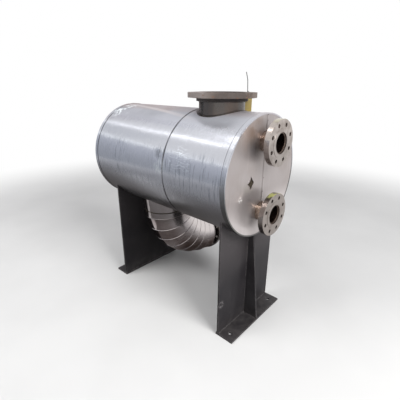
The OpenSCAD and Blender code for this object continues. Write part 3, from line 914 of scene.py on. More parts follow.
@dataclass(frozen=True)
class SaddlePaint:
    """Dull grey paint on plate, with runs, rubbed edges and small white scuffs, painted light on the webs'
    upper parts and painted shade on the rear saddle.
    """

    base: Colour = (0.021, 0.019, 0.021)
    pale: Colour = (0.036, 0.033, 0.035)
    run: Colour = (0.016, 0.014, 0.017)
    painted_light_upper: Colour = (0.064, 0.056, 0.058)
    rear: Colour = (0.009, 0.008, 0.009)
    bare: Colour = (0.30, 0.28, 0.275)
    dust: Colour = (0.115, 0.105, 0.102)
    scuff: Mark = Mark((0.50, -0.262, 0.222), 0.034, 0.7, 0.6, (0.30, 0.28, 0.28))
    upper_z: Span = (0.34, 0.60)
    rear_x: Span = (0.0, -0.2)
    dusty_z: Span = (0.11, 0.0)
    off_web: Span = (0.002, 0.006)
    worn_r: float = 0.0024
    worn_turn: Span = (0.995, 0.93)

    def make(self) -> bpy.types.Material:
        """Builds the saddles' material.

        Returns:
            The material.
        """
        g = Graph("saddle_paint")
        x, _, z = g.parts()
        web_face = WEB_X + WEB_T / 2
        cloud = g.noise(4.0, 4, 0.6)
        run = g.noise(1.0, 4, 0.6, None, (26.0, 26.0, 2.2))
        colour = g.wash(self.base, self.pale, cloud, (0.35, 0.7))
        colour = g.wash(colour, self.run, run, (0.52, 0.72), 0.4)
        on_web = g.ramp(x, *(web_face + off for off in self.off_web), 1.0, 0.0)
        # Painted light on the upper parts of the webs, away from the front saddle's rib.
        colour = g.mix(g.times(g.ramp(z, *self.upper_z, 0.0, 0.62), on_web), colour, self.painted_light_upper)
        # Painted shade: the rear saddle is darker, as under the shell.
        colour = g.wash(colour, self.rear, x, self.rear_x, 0.55)
        specks = g.times(g.ramp(g.noise(150.0, 3, 0.7), 0.66, 0.70), g.ramp(g.noise(8.0, 3), 0.52, 0.62))
        colour = g.mix(g.times(specks, 0.6), colour, self.bare)
        colour = g.mark(colour, self.scuff, g.ramp(g.noise(95.0, 3), 0.47, 0.53))
        settled = g.times(g.ramp(z, *self.dusty_z), g.ramp(g.noise(22.0, 4), 0.35, 0.7, 0.1, 0.4))
        colour = g.mix(settled, colour, self.dust)
        edge = g.times(self._edges(g), g.ramp(g.noise(45.0, 3), 0.3, 0.55))
        colour = g.mix(g.times(edge, 0.75), colour, self.bare)
        g.surface(colour, g.ramp(cloud, 0.3, 0.7, 0.42, 0.6), g.times(edge, 0.6))
        g.shade(specular_ior_level=0.22)
        g.bump(g.plus(g.noise(240.0, 2), g.times(run, 1.5)), 0.0005, 0.5, 0.0015)
        return g.material

    def _edges(self, g: Graph) -> Socket:
        """Marks the plates' sharp edges, where the paint is rubbed off.

        Args:
            g: The material's graph.

        Returns:
            1 on an edge and 0 elsewhere.
        """
        turn = g.add("ShaderNodeVectorMath", operation="DOT_PRODUCT")
        g.link(g.bevelled(self.worn_r), turn.inputs[0])
        g.link(g.add("ShaderNodeNewGeometry").outputs["Normal"], turn.inputs[1])
        return g.ramp(turn.outputs["Value"], *self.worn_turn)


@dataclass(frozen=True)
class Wool:
    """Mineral wool, brown and fibrous, made very dark as painted shade for the cut-out in the front plate."""

    light: Colour = (0.062, 0.051, 0.038)
    deep: Colour = (0.020, 0.016, 0.013)
    strand: Colour = (0.19, 0.155, 0.11)

    def make(self) -> bpy.types.Material:
        """Builds the insulation's material.

        Returns:
            The material.
        """
        g = Graph("insulation")
        fibre = g.noise(1.0, 5, 0.75, None, (160.0, 420.0, 260.0))
        clump = g.noise(42.0, 4, 0.6)
        # Very dark wool tones: painted shade for the cut-out.
        colour = g.wash(self.deep, self.light, clump, (0.3, 0.65))
        colour = g.wash(colour, self.strand, fibre, (0.5, 0.7), 0.6)
        g.surface(colour, 0.95, 0.0)
        g.shade(specular_ior_level=0.1)
        g.bump(g.plus(fibre, clump), 0.004, 1.0)
        return g.material


@dataclass(frozen=True)
class Plastic:
    """Moulded or punched plastic of the tie and the tag."""

    name: str
    colour: Colour
    shade: Colour
    roughness: float
    rib_pitch: float = 0.0

    def make(self) -> bpy.types.Material:
        """Builds the plastic's material.

        Returns:
            The material.
        """
        g = Graph(self.name)
        _, _, z = g.parts()
        cloud = g.noise(35.0, 4, 0.6)
        rough = g.ramp(cloud, 0.3, 0.7, self.roughness, self.roughness + 0.15)
        g.surface(g.wash(self.colour, self.shade, cloud, (0.3, 0.75)), rough, 0.0)
        relief = cloud
        if self.rib_pitch:
            relief = g.plus(cloud, g.maths("SINE", g.times(z, 2 * math.pi / self.rib_pitch)))
        g.bump(relief, 0.0003, 0.6)
        return g.material


class Finishes:
    """Every material of the exchanger, made once."""

    def __init__(self) -> None:
        """Builds the materials."""
        top = FlangeFace((SMALL_FACE_X, 0.0, AXIS_Z + SMALL_OFF))
        low = FlangeFace((SMALL_FACE_X, 0.0, AXIS_Z - SMALL_OFF))
        self.jacket = JacketSheet().make()
        self.plate = PlateSheet().make()
        self.bend = BendSheet().make()
        self.upper_flange = FlangeSteel("flange_steel_upper", top, (0.54, 0.485, 0.452), paint_amount=0.25,
                                        shadow_amount=0.26).make()
        self.lower_flange = FlangeSteel("flange_steel_lower", low).make()
        self.upper_neck = NeckSteel("neck_steel_upper", (0.36, 0.285, 0.24), top).make()
        self.lower_neck = NeckSteel("neck_steel_lower", (0.46, 0.36, 0.29), low).make()
        self.weathered = WeatheredSteel().make()
        self.dark = DarkSteel().make()
        self.vessel = VesselSteel().make()
        self.saddle = SaddlePaint().make()
        self.wool = Wool().make()
        self.nylon = Plastic("nylon", (0.018, 0.018, 0.02), (0.035, 0.034, 0.034), 0.35, 0.0012).make()
        self.tag = Plastic("tag_plastic", (0.27, 0.195, 0.045), (0.22, 0.175, 0.085), 0.4).make()


def deselect() -> None:
    """Leaves object mode with nothing selected."""
    if bpy.context.mode != "OBJECT":
        bpy.ops.object.mode_set(mode="OBJECT")
    bpy.ops.object.select_all(action="DESELECT")


def select_only(objects: Iterable[bpy.types.Object]) -> None:
    """Selects some objects and makes the first one active.

    Args:
        objects: The objects to select.
    """
    deselect()
    chosen = list(objects)
    for item in chosen:
        item.select_set(True)
    bpy.context.view_layer.objects.active = chosen[0]


def choose(obj: bpy.types.Object, kind: str, test: Test) -> None:
    """Enters edit mode and selects the vertices, edges or faces that pass a test.

    Args:
        obj: The mesh object.
        kind: "VERT", "EDGE" or "FACE".
        test: Takes a bmesh element and says whether it is wanted.
    """
    select_only([obj])
    bpy.ops.object.mode_set(mode="EDIT")
    bpy.ops.mesh.select_mode(type=kind)
    bpy.ops.mesh.select_all(action="DESELECT")
    mesh = bmesh.from_edit_mesh(obj.data)
    for element in {"VERT": mesh.verts, "EDGE": mesh.edges, "FACE": mesh.faces}[kind]:
        if test(element):
            element.select_set(True)
    mesh.select_flush_mode()
    bmesh.update_edit_mesh(obj.data)


def primitive(add: Callable[..., set[str]], **settings: object) -> bpy.types.Object:
    """Adds a primitive with nothing else selected.

    Args:
        add: The operator that adds it.
        **settings: The operator's settings.

    Returns:
        The new object.
    """
    deselect()
    add(**settings)
    return bpy.context.view_layer.objects.active


def bar(centre: Place, size: Place, soften: Test) -> bpy.types.Object:
    """Models a straight bar with some of its edges bevelled.

    Args:
        centre: The bar's middle.
        size: Its lengths along X, Y and Z.
        soften: Takes an edge and says whether it is bevelled.

    Returns:
        The bar.
    """
    obj = primitive(bpy.ops.mesh.primitive_cube_add, size=1, location=centre, scale=size)
    bpy.ops.object.transform_apply(location=True, rotation=True, scale=True)
    choose(obj, "EDGE", soften)
    bpy.ops.mesh.bevel(offset=EDGE_BEVEL, segments=2, affect="EDGES")
    bpy.ops.object.mode_set(mode="OBJECT")
    return obj


def thicken(obj: bpy.types.Object, wall: float, outward: float) -> None:
    """Gives a sheet its thickness.

    Args:
        obj: The sheet.
        wall: The thickness.
        outward: 1 to grow it along the faces' normals, 0 to both sides.
    """
    modifier = obj.modifiers.new("wall", "SOLIDIFY")
    modifier.thickness = wall
    modifier.offset = outward
    bpy.ops.object.modifier_apply(modifier=modifier.name)


def coat(node: bpy.types.Object, material: bpy.types.Material) -> None:
    """Gives an object its one material.

    Args:
        node: The object.
        material: Its material.
    """
    node.data.materials.clear()
    node.data.materials.append(material)


def coat_all(nodes: dict[str, bpy.types.Object], names: Iterable[str], material: bpy.types.Material) -> None:
    """Gives several CAD nodes the same material.

    Args:
        nodes: The CAD nodes by name.
        names: The names of those that get it.
        material: The material.
    """
    for name in names:
        coat(nodes[name], material)


def settle(obj: bpy.types.Object, name: str, material: bpy.types.Material,
           smooth_deg: float = 40.0) -> None:
    """Puts a finished piece's place in its mesh, dresses it and lets it ride on the frame.

    Args:
        obj: The piece.
        name: Its name.
        material: Its material.
        smooth_deg: Edges flatter than this look smooth.
    """
    select_only([obj])
    bpy.ops.object.transform_apply(location=True, rotation=True, scale=True)
    bpy.ops.object.mode_set(mode="EDIT")
    bpy.ops.mesh.select_all(action="SELECT")
    bpy.ops.mesh.remove_doubles(threshold=1e-6)
    bpy.ops.mesh.normals_make_consistent(inside=False)
    bpy.ops.object.mode_set(mode="OBJECT")
    bpy.ops.object.shade_smooth_by_angle(angle=math.radians(smooth_deg))
    obj.name = name
    obj.data.name = name
    coat(obj, material)
    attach(obj, "root")
    LOG.info("%s: %d faces", name, len(obj.data.polygons))
    deselect()


def facing(point: Vector, normal: Vector) -> Matrix:
    """Gives the matrix that stands Z at a point along a direction.

    Args:
        point: Where the origin goes.
        normal: Where Z goes.

    Returns:
        The matrix.
    """
    return Matrix.Translation(point) @ normal.to_track_quat("Z", "Y").to_matrix().to_4x4()


def join_all(objects: list[bpy.types.Object]) -> bpy.types.Object:
    """Joins objects into one.

    Args:
        objects: The objects to join.

    Returns:
        The joined object.
    """
    select_only(objects)
    if len(objects) > 1:
        bpy.ops.object.join()
    return bpy.context.view_layer.objects.active


def spread(template: bpy.types.Object, places: list[Matrix]) -> bpy.types.Object:
    """Copies a modelled shape to several places and joins the copies.

    Args:
        template: The shape, at the origin; it is removed.
        places: Where each copy goes.

    Returns:
        The joined object.
    """
    copies = []
    for place in places:
        copy = template.copy()
        copy.data = template.data.copy()
        copy.data.transform(place)
        bpy.context.scene.collection.objects.link(copy)
        copies.append(copy)
    bpy.data.objects.remove(template)
    return join_all(copies)


@dataclass(frozen=True)
class Rivet:
    """A domed blind rivet, modelled with its head up."""

    radius: float = 0.0045
    height: float = 0.0022
    cut: float = 0.2
    skirt: float = 0.3

    def build(self) -> bpy.types.Object:
        """Models one rivet head at the origin.

        The head is a ball cut off a little over its middle, with a short skirt under it.

        Returns:
            The head.
        """
        head = primitive(bpy.ops.mesh.primitive_uv_sphere_add, segments=14, ring_count=8, radius=self.radius)
        bpy.ops.object.mode_set(mode="EDIT")
        bpy.ops.mesh.select_all(action="SELECT")
        bpy.ops.mesh.bisect(plane_co=(0, 0, self.radius * self.cut), plane_no=(0, 0, 1), clear_inner=True,
                            use_fill=False)
        bpy.ops.object.mode_set(mode="OBJECT")
        choose(head, "EDGE", lambda edge: edge.is_boundary)
        bpy.ops.mesh.extrude_region_move(TRANSFORM_OT_translate={"value": (0, 0, -self.radius * self.skirt)})
        bpy.ops.object.mode_set(mode="OBJECT")
        flat = self.height / (self.radius * (1 - self.cut))
        lower = Matrix.Translation((0, 0, -self.radius * self.cut))
        head.data.transform(Matrix.Diagonal((1, 1, flat, 1)) @ lower)
        return head


@dataclass(frozen=True)
class WeldBead:
    """A fillet weld with the ripples of its passes and slower, uneven waves.

    A ring has ring_waves of the uneven waves to a turn, and its radius shifts them.
    """

    bead: float = 0.004
    pitch: float = 0.004
    depth: float = 0.16
    unevenness: float = 0.08
    sides: int = 8
    ring_waves: float = 5.3
    ring_shift: float = 40.0
    line_depth: float = 1.6
    line_waves: float = 31.0

    def ring(self, centre: Vector, along: Along, radius: float) -> bpy.types.Object:
        """Models a bead round a pipe.

        Args:
            centre: The ring's middle.
            along: The pipe's axis.
            radius: The ring's radius.

        Returns:
            The bead.
        """
        ripples = max(24, round(2 * math.pi * radius / self.pitch / 2))
        obj = primitive(bpy.ops.mesh.primitive_torus_add, major_segments=ripples * 4,
                        minor_segments=self.sides, major_radius=radius, minor_radius=self.bead)
        for vertex in obj.data.vertices:
            angle = math.atan2(vertex.co.y, vertex.co.x)
            middle = Vector((math.cos(angle), math.sin(angle), 0)) * radius
            swell = 1 + self.depth * math.sin(ripples * angle)
            swell += self.unevenness * math.sin(self.ring_waves * angle + radius * self.ring_shift)
            vertex.co = middle + (vertex.co - middle) * swell
        obj.data.transform(facing(centre, along.value))
        return obj

    def line(self, start: Vector, end: Vector) -> bpy.types.Object:
        """Models a bead along a straight joint.

        Args:
            start: One end.
            end: The other end.

        Returns:
            The bead.
        """
        span = end - start
        ripples = max(8, round(span.length / self.pitch / 2))
        obj = primitive(bpy.ops.mesh.primitive_cylinder_add, vertices=self.sides, radius=self.bead,
                        depth=span.length)
        choose(obj, "EDGE", lambda edge: abs(edge.verts[0].co.z - edge.verts[1].co.z) > span.length * 0.9)
        bpy.ops.mesh.subdivide(number_cuts=ripples * 2 - 1)
        bpy.ops.object.mode_set(mode="OBJECT")
        for vertex in obj.data.vertices:
            along = (vertex.co.z / span.length + 0.5) * ripples * math.pi
            swell = 1 + self.depth * math.sin(along) ** 2 * self.line_depth
            swell += self.unevenness * math.sin(vertex.co.z * self.line_waves)
            vertex.co.x *= swell
            vertex.co.y *= swell
        obj.data.transform(facing((start + end) / 2, span.normalized()))
        return obj


@dataclass
class Jacket:
    """The clad jacket: sheet, rims, end plates and what is riveted or folded on them.

    A row of rivets holds its first place along X, its pitch and its count. The cut-out's four lips
    each rise their own height off the plate.
    """

    finishes: Finishes
    radius: float = JACKET_R
    front_x: float = FRONT_X
    rear_x: float = REAR_X
    joint_x: float = JOINT_X
    joint_w: float = 0.009
    rim_w: float = RIM_W
    lip_r: float = 0.0016
    lap_deg: float = 118.0
    lap_w: float = 0.026
    lap_t: float = 0.0008
    lap_steps: int = 720
    rim_gap: float = 0.003
    lip_gap: float = 0.004
    joint_gap: float = 0.001
    lap_rivet: Rivet = Rivet()
    rivet_rows: tuple[tuple[float, float, int], ...] = ((-0.585, 0.1, 7), (0.155, 0.09, 5))
    seam_t: float = 0.0014
    seam_w: float = 0.018
    seam_spans: tuple[Span, ...] = ((1.266, 1.3485), (0.856, 1.144), (0.6515, 0.734))
    seam_rivet: Rivet = Rivet(0.0046, 0.0026)
    seam_rivet_y: float = 0.0095
    seam_rivet_z: tuple[float, ...] = (1.3462, 1.3175, 0.9945, 0.913, 0.6825, 0.6538)
    hole_y: float = -0.121
    hole_z: float = 0.990
    hole_w: float = 0.060
    hole_h: float = 0.076
    hole_rises: tuple[float, ...] = (0.0022, 0.0050, 0.0045, 0.0018)
    hole_bow: float = 0.0052
    fold_in: float = 0.0012
    fold_w: float = 0.005
    fold_t: float = 0.0007
    fold_lift: float = 0.0002
    fold_curl: float = 1.5

    def dress(self, nodes: dict[str, bpy.types.Object]) -> None:
        """Gives the jacket's own nodes their finishes.

        Args:
            nodes: The CAD nodes by name.
        """
        finishes = self.finishes
        coat_all(nodes, ("jacket_front", "jacket_rear", "front_rim", "rear_rim", "jacket_strap"),
                 finishes.jacket)
        coat_all(nodes, ("front_cap_left", "front_cap_right", "rear_cap"), finishes.plate)
        coat_all(nodes, ("insulation_blanket", "front_insulation", "outlet_insulation"), finishes.wool)

    def joint_lip(self) -> None:
        """Models the rolled lip along the rear section's edge at the open joint."""
        edge_x = self.joint_x - self.joint_w / 2 - self.lip_r
        ring = WeldBead(self.lip_r, depth=0.0).ring(Vector((edge_x, 0, AXIS_Z)), Along.X, self.radius)
        settle(ring, "joint_lip", self.finishes.jacket)

    def lap_strip(self, name: str, start: float, end: float) -> None:
        """Models the lapped edge along one jacket section, on the side away from the nozzles.

        Args:
            name: The piece's name.
            start: Its rear end along X.
            end: Its front end along X.
        """
        obj = primitive(bpy.ops.mesh.primitive_cylinder_add, vertices=self.lap_steps, radius=self.radius,
                        depth=end - start, end_fill_type="NOTHING",
                        location=((start + end) / 2, 0, AXIS_Z), rotation=(0, math.pi / 2, 0))
        bpy.ops.object.transform_apply(location=True, rotation=True, scale=True)
        half = math.degrees(self.lap_w / 2 / self.radius)
        choose(obj, "FACE", lambda face: abs(self._turn(face.calc_center_median()) - self.lap_deg) > half)
        bpy.ops.mesh.delete(type="FACE")
        bpy.ops.object.mode_set(mode="OBJECT")
        thicken(obj, self.lap_t, 1.0)
        settle(obj, name, self.finishes.jacket, smooth_deg=30)

    @staticmethod
    def _turn(point: Vector) -> float:
        """Gives a point's angle round the shell in degrees, from the top towards +Y."""
        return math.degrees(math.atan2(point.y, point.z - AXIS_Z))

    def lap_rivets(self) -> None:
        """Rivets both lapped edges."""
        turn = math.radians(self.lap_deg)
        normal = Vector((0, math.sin(turn), math.cos(turn)))
        foot = Vector((0, 0, AXIS_Z)) + normal * (self.radius + self.lap_t)
        steps = [start + pitch * i for start, pitch, count in self.rivet_rows for i in range(count)]
        places = [facing(foot + Vector((x, 0, 0)), normal) for x in steps]
        rivets = spread(self.lap_rivet.build(), places)
        settle(rivets, "jacket_lap_rivets", self.finishes.jacket)

    def seam_rivets(self) -> None:
        """Rivets the two halves of the front plate along their seam."""
        ahead = Along.X.value
        places = [facing(Vector((self.front_x, self.seam_rivet_y, z)), ahead) for z in self.seam_rivet_z]
        rivets = spread(self.seam_rivet.build(), places)
        settle(rivets, "front_seam_rivets", self.finishes.dark)

    def seam_lap(self) -> None:
        """Models the thin lapped edge of the front plate's right half beside the seam."""
        strips = []
        middle_x = self.front_x + self.seam_t / 2
        for low, high in self.seam_spans:
            strips.append(bar((middle_x, self.seam_w / 2, (low + high) / 2),
                              (self.seam_t, self.seam_w, high - low),
                              lambda edge: all(v.co.x > middle_x for v in edge.verts)))
        settle(join_all(strips), "front_seam_lap", self.finishes.plate, smooth_deg=30)

    def hole_lips(self) -> None:
        """Folds a small lip up along each side of the diamond-shaped cut-out."""
        across, high = self.hole_w / 2, self.hole_h / 2
        corners = [Vector(corner) for corner in ((-across, 0), (0, high), (across, 0), (0, -high))]
        lips = [self._lip(corners[i], corners[(i + 1) % 4], rise) for i, rise in enumerate(self.hole_rises)]
        settle(join_all(lips), "cutout_lips", self.finishes.plate, smooth_deg=60)

    def _lip(self, a: Vector, b: Vector, rise: float) -> bpy.types.Object:
        """Models one folded lip between two corners of the cut-out.

        Args:
            a: The first corner, across and up from the cut-out's middle.
            b: The second corner.
            rise: How far the lip's free edge stands off the plate.

        Returns:
            The lip.
        """
        obj = primitive(bpy.ops.mesh.primitive_grid_add, x_subdivisions=16, y_subdivisions=4, size=1)
        inward = -((a + b) / 2).normalized()
        for vertex in obj.data.vertices:
            t, s = vertex.co.x + 0.5, vertex.co.y + 0.5
            bow = math.sin(math.pi * t)
            along = a.lerp(b, t) + inward * (bow * self.hole_bow)
            out = along - inward * (self.fold_in + self.fold_w * s * bow)
            lift = rise * bow * (1 - s) ** self.fold_curl + self.fold_lift
            vertex.co = (self.front_x + lift, self.hole_y + out.x, self.hole_z + out.y)
        thicken(obj, self.fold_t, 0.0)
        return obj

    def build(self) -> None:
        """Models the jacket's added pieces."""
        half = self.joint_w / 2
        rim = self.rim_w + self.rim_gap
        self.joint_lip()
        self.lap_strip("rear_lap_strip", self.rear_x + rim, self.joint_x - half - self.lip_gap)
        self.lap_strip("front_lap_strip", self.joint_x + half + self.joint_gap, self.front_x - rim)
        self.lap_rivets()
        self.seam_lap()
        self.seam_rivets()
        self.hole_lips()


@dataclass
class Nozzles:
    """The flanged nozzles and what is welded on them."""

    finishes: Finishes
    top: Place = TOP_FACE
    outlet: Place = (-0.2645, 0.440, 0.277)
    pipe_end: float = 0.010
    proud: float = 0.001
    big_bead: WeldBead = WeldBead(0.0045)
    big_back: float = 0.0492
    big_pipe_r: float = 0.1365
    big_inset: float = 0.0035
    small_bead: WeldBead = WeldBead(0.0032, 0.003)
    small_back: float = 0.0478
    small_pipe_r: float = 0.05715
    small_inset: float = 0.0025

    def dress(self, nodes: dict[str, bpy.types.Object]) -> None:
        """Gives the nozzles' nodes their finishes.

        Args:
            nodes: The CAD nodes by name.
        """
        finishes = self.finishes
        coat(nodes["upper_flange"], finishes.upper_flange)
        coat(nodes["lower_flange"], finishes.lower_flange)
        coat(nodes["upper_nozzle_neck"], finishes.upper_neck)
        coat(nodes["lower_nozzle_neck"], finishes.lower_neck)
        coat(nodes["top_flange"], finishes.weathered)
        coat_all(nodes, ("top_nozzle_neck", "top_collar", "outlet_neck", "outlet_elbow", "outlet_pipe",
                         "outlet_flange"), finishes.dark)
        coat_all(nodes, ("shell_barrel", "channel_cover", "pass_partition", "tubesheets", "tube_bundle",
                         "baffles", "rear_head"), finishes.vessel)

    def build(self) -> None:
        """Models the weld beads behind and inside the flanges."""
        finishes = self.finishes
        big, small = self.big_bead, self.small_bead
        top, outlet = Vector(self.top), Vector(self.outlet)
        outside, inside = self.big_pipe_r + self.proud, self.big_pipe_r - self.big_inset
        hub = big.ring(top - Along.Z.value * self.big_back, Along.Z, outside)
        settle(hub, "top_hub_weld", finishes.dark)
        face = big.ring(top - Along.Z.value * self.pipe_end, Along.Z, inside)
        settle(face, "top_face_weld", finishes.weathered)
        face = big.ring(outlet - Along.Y.value * self.pipe_end, Along.Y, inside)
        settle(face, "outlet_face_weld", finishes.dark)
        outside, inside = self.small_pipe_r + self.proud, self.small_pipe_r - self.small_inset
        for side, name, finish in ((1, "upper", finishes.upper_flange), (-1, "lower", finishes.lower_flange)):
            middle = Vector((SMALL_FACE_X, 0, AXIS_Z + side * SMALL_OFF))
            hub = small.ring(middle - Along.X.value * self.small_back, Along.X, outside)
            settle(hub, f"{name}_hub_weld", finish)
            face = small.ring(middle - Along.X.value * self.pipe_end, Along.X, inside)
            settle(face, f"{name}_face_weld", finish)


@dataclass
class OutletBend:
    """The clad bend under the shell: gores, collar, end disc, rivets and the rolled rim."""

    finishes: Finishes
    centre: Place = (-0.2645, 0.381, 0.658)
    radius: float = 0.381
    clad_r: float = 0.1875
    gores: int = 8
    end_deg: float = 88.196
    rivet: Rivet = Rivet(0.004, 0.002)
    rivets_deg: tuple[float, ...] = (-62, 62, 180)
    rivet_inset: float = 0.016
    rivet_room: float = 0.02
    end_bead: WeldBead = WeldBead(0.0026, depth=0.0)
    end_over: float = 0.0012

    def dress(self, nodes: dict[str, bpy.types.Object]) -> None:
        """Gives the bend's nodes their finishes.

        Args:
            nodes: The CAD nodes by name.
        """
        gores = (f"elbow_gore_{i}" for i in range(1, self.gores + 1))
        coat_all(nodes, ("outlet_collar", "elbow_end_cap", *gores), self.finishes.bend)

    def _at(self, degrees: float) -> tuple[Vector, Vector]:
        """Gives the bend's directions at an angle.

        Args:
            degrees: The angle along the bend, 0 at its top.

        Returns:
            The direction of flow and the direction away from the bend's centre.
        """
        turn = math.radians(degrees)
        flow = Vector((0, math.sin(turn), -math.cos(turn)))
        return flow, Vector((0, -math.cos(turn), -math.sin(turn)))

    def rivets(self) -> None:
        """Rivets each gore's lap, on both flanks and on the back of the bend."""
        places = []
        half = math.radians(90 / self.gores / 2)
        for i in range(self.gores):
            flow, outward = self._at(math.degrees(half) * (2 * i + 1))
            middle = Vector(self.centre) + outward * self.radius * math.cos(half)
            for round_deg in self.rivets_deg:
                turn = math.radians(round_deg)
                normal = outward * math.cos(turn) + Along.X.value * math.sin(turn)
                reach = self.radius + self.clad_r * math.cos(turn)
                along = math.tan(half) * reach - self.rivet_inset
                if along > self.rivet_room:
                    places.append(facing(middle + normal * self.clad_r - flow * along, normal))
        settle(spread(self.rivet.build(), places), "bend_rivets", self.finishes.bend)

    def rim(self) -> None:
        """Models the rolled rim of the end disc."""
        flow, outward = self._at(self.end_deg)
        ring = self.end_bead.ring(Vector((0, 0, 0)), Along.Z, self.clad_r + self.end_over)
        ring.data.transform(facing(Vector(self.centre) + outward * self.radius, flow))
        settle(ring, "bend_end_rim", self.finishes.bend)

    def build(self) -> None:
        """Models the bend's added pieces."""
        self.rivets()
        self.rim()


@dataclass
class Saddles:
    """The two plate saddles and their welds."""

    finishes: Finishes
    web_x: float = WEB_X
    web_t: float = WEB_T
    base_t: float = 0.012
    half_w: float = 0.284
    rib_foot: float = 0.104
    rib_h: float = 0.6322
    fillet: WeldBead = WeldBead(0.0036, 0.0045, 0.2)
    inset: float = 0.0008
    stop: float = 0.004
    rib_gap: float = 0.002
    foot_stop: float = 0.006

    def dress(self, nodes: dict[str, bpy.types.Object]) -> None:
        """Gives the saddles' nodes their finish.

        Args:
            nodes: The CAD nodes by name.
        """
        coat_all(nodes, ("front_saddle_web", "rear_saddle_web", "saddle_ribs", "base_plates"),
                 self.finishes.saddle)

    def build(self) -> None:
        """Models the fillet welds of each saddle."""
        for side, name in ((1, "front"), (-1, "rear")):
            beads = [*self._web_welds(side), *self._rib_welds(side)]
            settle(join_all(beads), f"{name}_saddle_welds", self.finishes.saddle)

    def _bead(self, start: Place, end: Place) -> bpy.types.Object:
        """Models one fillet between two points."""
        return self.fillet.line(Vector(start), Vector(end))

    def _web_welds(self, side: int) -> list[bpy.types.Object]:
        """Models the beads along a web's foot, on both faces and on both sides of the rib.

        Args:
            side: 1 for the front saddle, -1 for the rear one.

        Returns:
            The beads.
        """
        beads = []
        z = self.base_t + self.inset
        for face in (1, -1):
            x = side * self.web_x + face * (self.web_t / 2 + self.inset)
            gap = self.web_t / 2 + self.rib_gap if face == side else 0.0
            far = self.half_w - self.stop
            beads += [self._bead((x, hand * gap, z), (x, hand * far, z)) for hand in (1, -1)]
        return beads

    def _rib_welds(self, side: int) -> list[bpy.types.Object]:
        """Models the beads up and along both faces of a saddle's rib.

        Args:
            side: 1 for the front saddle, -1 for the rear one.

        Returns:
            The beads.
        """
        beads = []
        foot_x = side * (self.web_x + self.web_t / 2)
        out_x = foot_x + side * (self.rib_foot - self.foot_stop)
        for hand in (1, -1):
            y = hand * (self.web_t / 2 + self.inset)
            foot = (foot_x, y, self.base_t)
            beads.append(self._bead(foot, (foot_x, y, self.base_t + self.rib_h - self.stop)))
            beads.append(self._bead(foot, (out_x, y, self.base_t)))
        return beads


@dataclass
class TieAndTag:
    """The nylon tie in a bolt hole of the top flange and the plain tag on it."""

    finishes: Finishes
    flange: Place = TOP_FACE
    turn_deg: float = 75.0
    bolt_circle_r: float = 0.2032
    inner_r: float = 0.1939
    tie_w: float = 0.005
    tie_t: float = 0.0014
    top_z: float = -0.0003
    low_z: float = -0.0319
    eyelet: WeldBead = WeldBead(0.0012, depth=0.0)
    eyelet_r: float = 0.0045
    eyelet_z: float = -0.0405

    def dress(self, nodes: dict[str, bpy.types.Object]) -> None:
        """Gives the tie and the tag their finishes.

        Args:
            nodes: The CAD nodes by name.
        """
        coat(nodes["cable_tie"], self.finishes.nylon)
        coat(nodes["tag"], self.finishes.tag)

    def _frame(self) -> Matrix:
        """Gives the matrix of the tied hole: X points out from the flange's middle."""
        return Matrix.Translation(self.flange) @ Matrix.Rotation(math.radians(self.turn_deg), 4, "Z")

    def build(self) -> None:
        """Models the tie's leg through the hole and the tag's eyelet."""
        centre = (self.inner_r - self.tie_t / 2, 0, (self.top_z + self.low_z) / 2)
        leg = bar(centre, (self.tie_t, self.tie_w, self.top_z - self.low_z),
                  lambda edge: abs(edge.verts[0].co.z - edge.verts[1].co.z) > self.tie_w)
        leg.data.transform(self._frame())
        settle(leg, "tie_leg", self.finishes.nylon)
        eye = self.eyelet.ring(Vector((0, 0, 0)), Along.Y, self.eyelet_r)
        eye.data.transform(self._frame() @ Matrix.Translation((self.bolt_circle_r, 0, self.eyelet_z)))
        settle(eye, "tag_eyelet", self.finishes.lower_flange)


@dataclass(frozen=True)
class Lamp:
    """A soft rectangular lamp."""

    name: str
    place: Place
    target: Place
    size: Span
    radiance: float
    in_metal: bool = True
    on_matt: bool = True

    def build(self) -> None:
        """Adds the lamp."""
        light = bpy.data.lights.new(self.name, "AREA")
        light.shape = "RECTANGLE"
        light.size, light.size_y = self.size
        light.energy = self.radiance * math.pi * self.size[0] * self.size[1]
        lamp = bpy.data.objects.new(self.name, light)
        bpy.context.scene.collection.objects.link(lamp)
        away = Vector(self.place) - Vector(self.target)
        lamp.matrix_world = facing(Vector(self.place), away.normalized())
        lamp.visible_glossy = self.in_metal
        lamp.visible_diffuse = self.on_matt


def show_in_metal_only(obj: bpy.types.Object) -> None:
    """Hides an object from all but what metal mirrors.

    Args:
        obj: The object.
    """
    obj.visible_camera = False
    obj.visible_diffuse = False
    obj.visible_shadow = False


@dataclass(frozen=True)
class Card:
    """A card that shows only in metal.

    It turns about Z, 0 facing the object from -Y, and leans from 0 lying down to a right angle
    standing up. Its colour runs into the foot's colour where that is given.
    """

    name: str
    place: Place
    turn: float
    size: Span
    colour: Colour
    foot: Colour | None = None
    lean: float = math.pi / 2

    def build(self) -> None:
        """Adds the card."""
        card = primitive(bpy.ops.mesh.primitive_plane_add, size=1, location=self.place,
                         rotation=(self.lean, 0, self.turn))
        card.scale = (*self.size, 1)
        bpy.ops.object.transform_apply(location=False, rotation=False, scale=True)
        card.name = self.name
        g = Graph(self.name)
        shade = self.colour
        if self.foot is not None:
            _, height, _ = g.parts()
            shade = g.mix(g.ramp(height, -self.size[1] / 2, self.size[1] / 2), self.foot, self.colour)
        g.glow(shade)
        coat(card, g.material)
        show_in_metal_only(card)


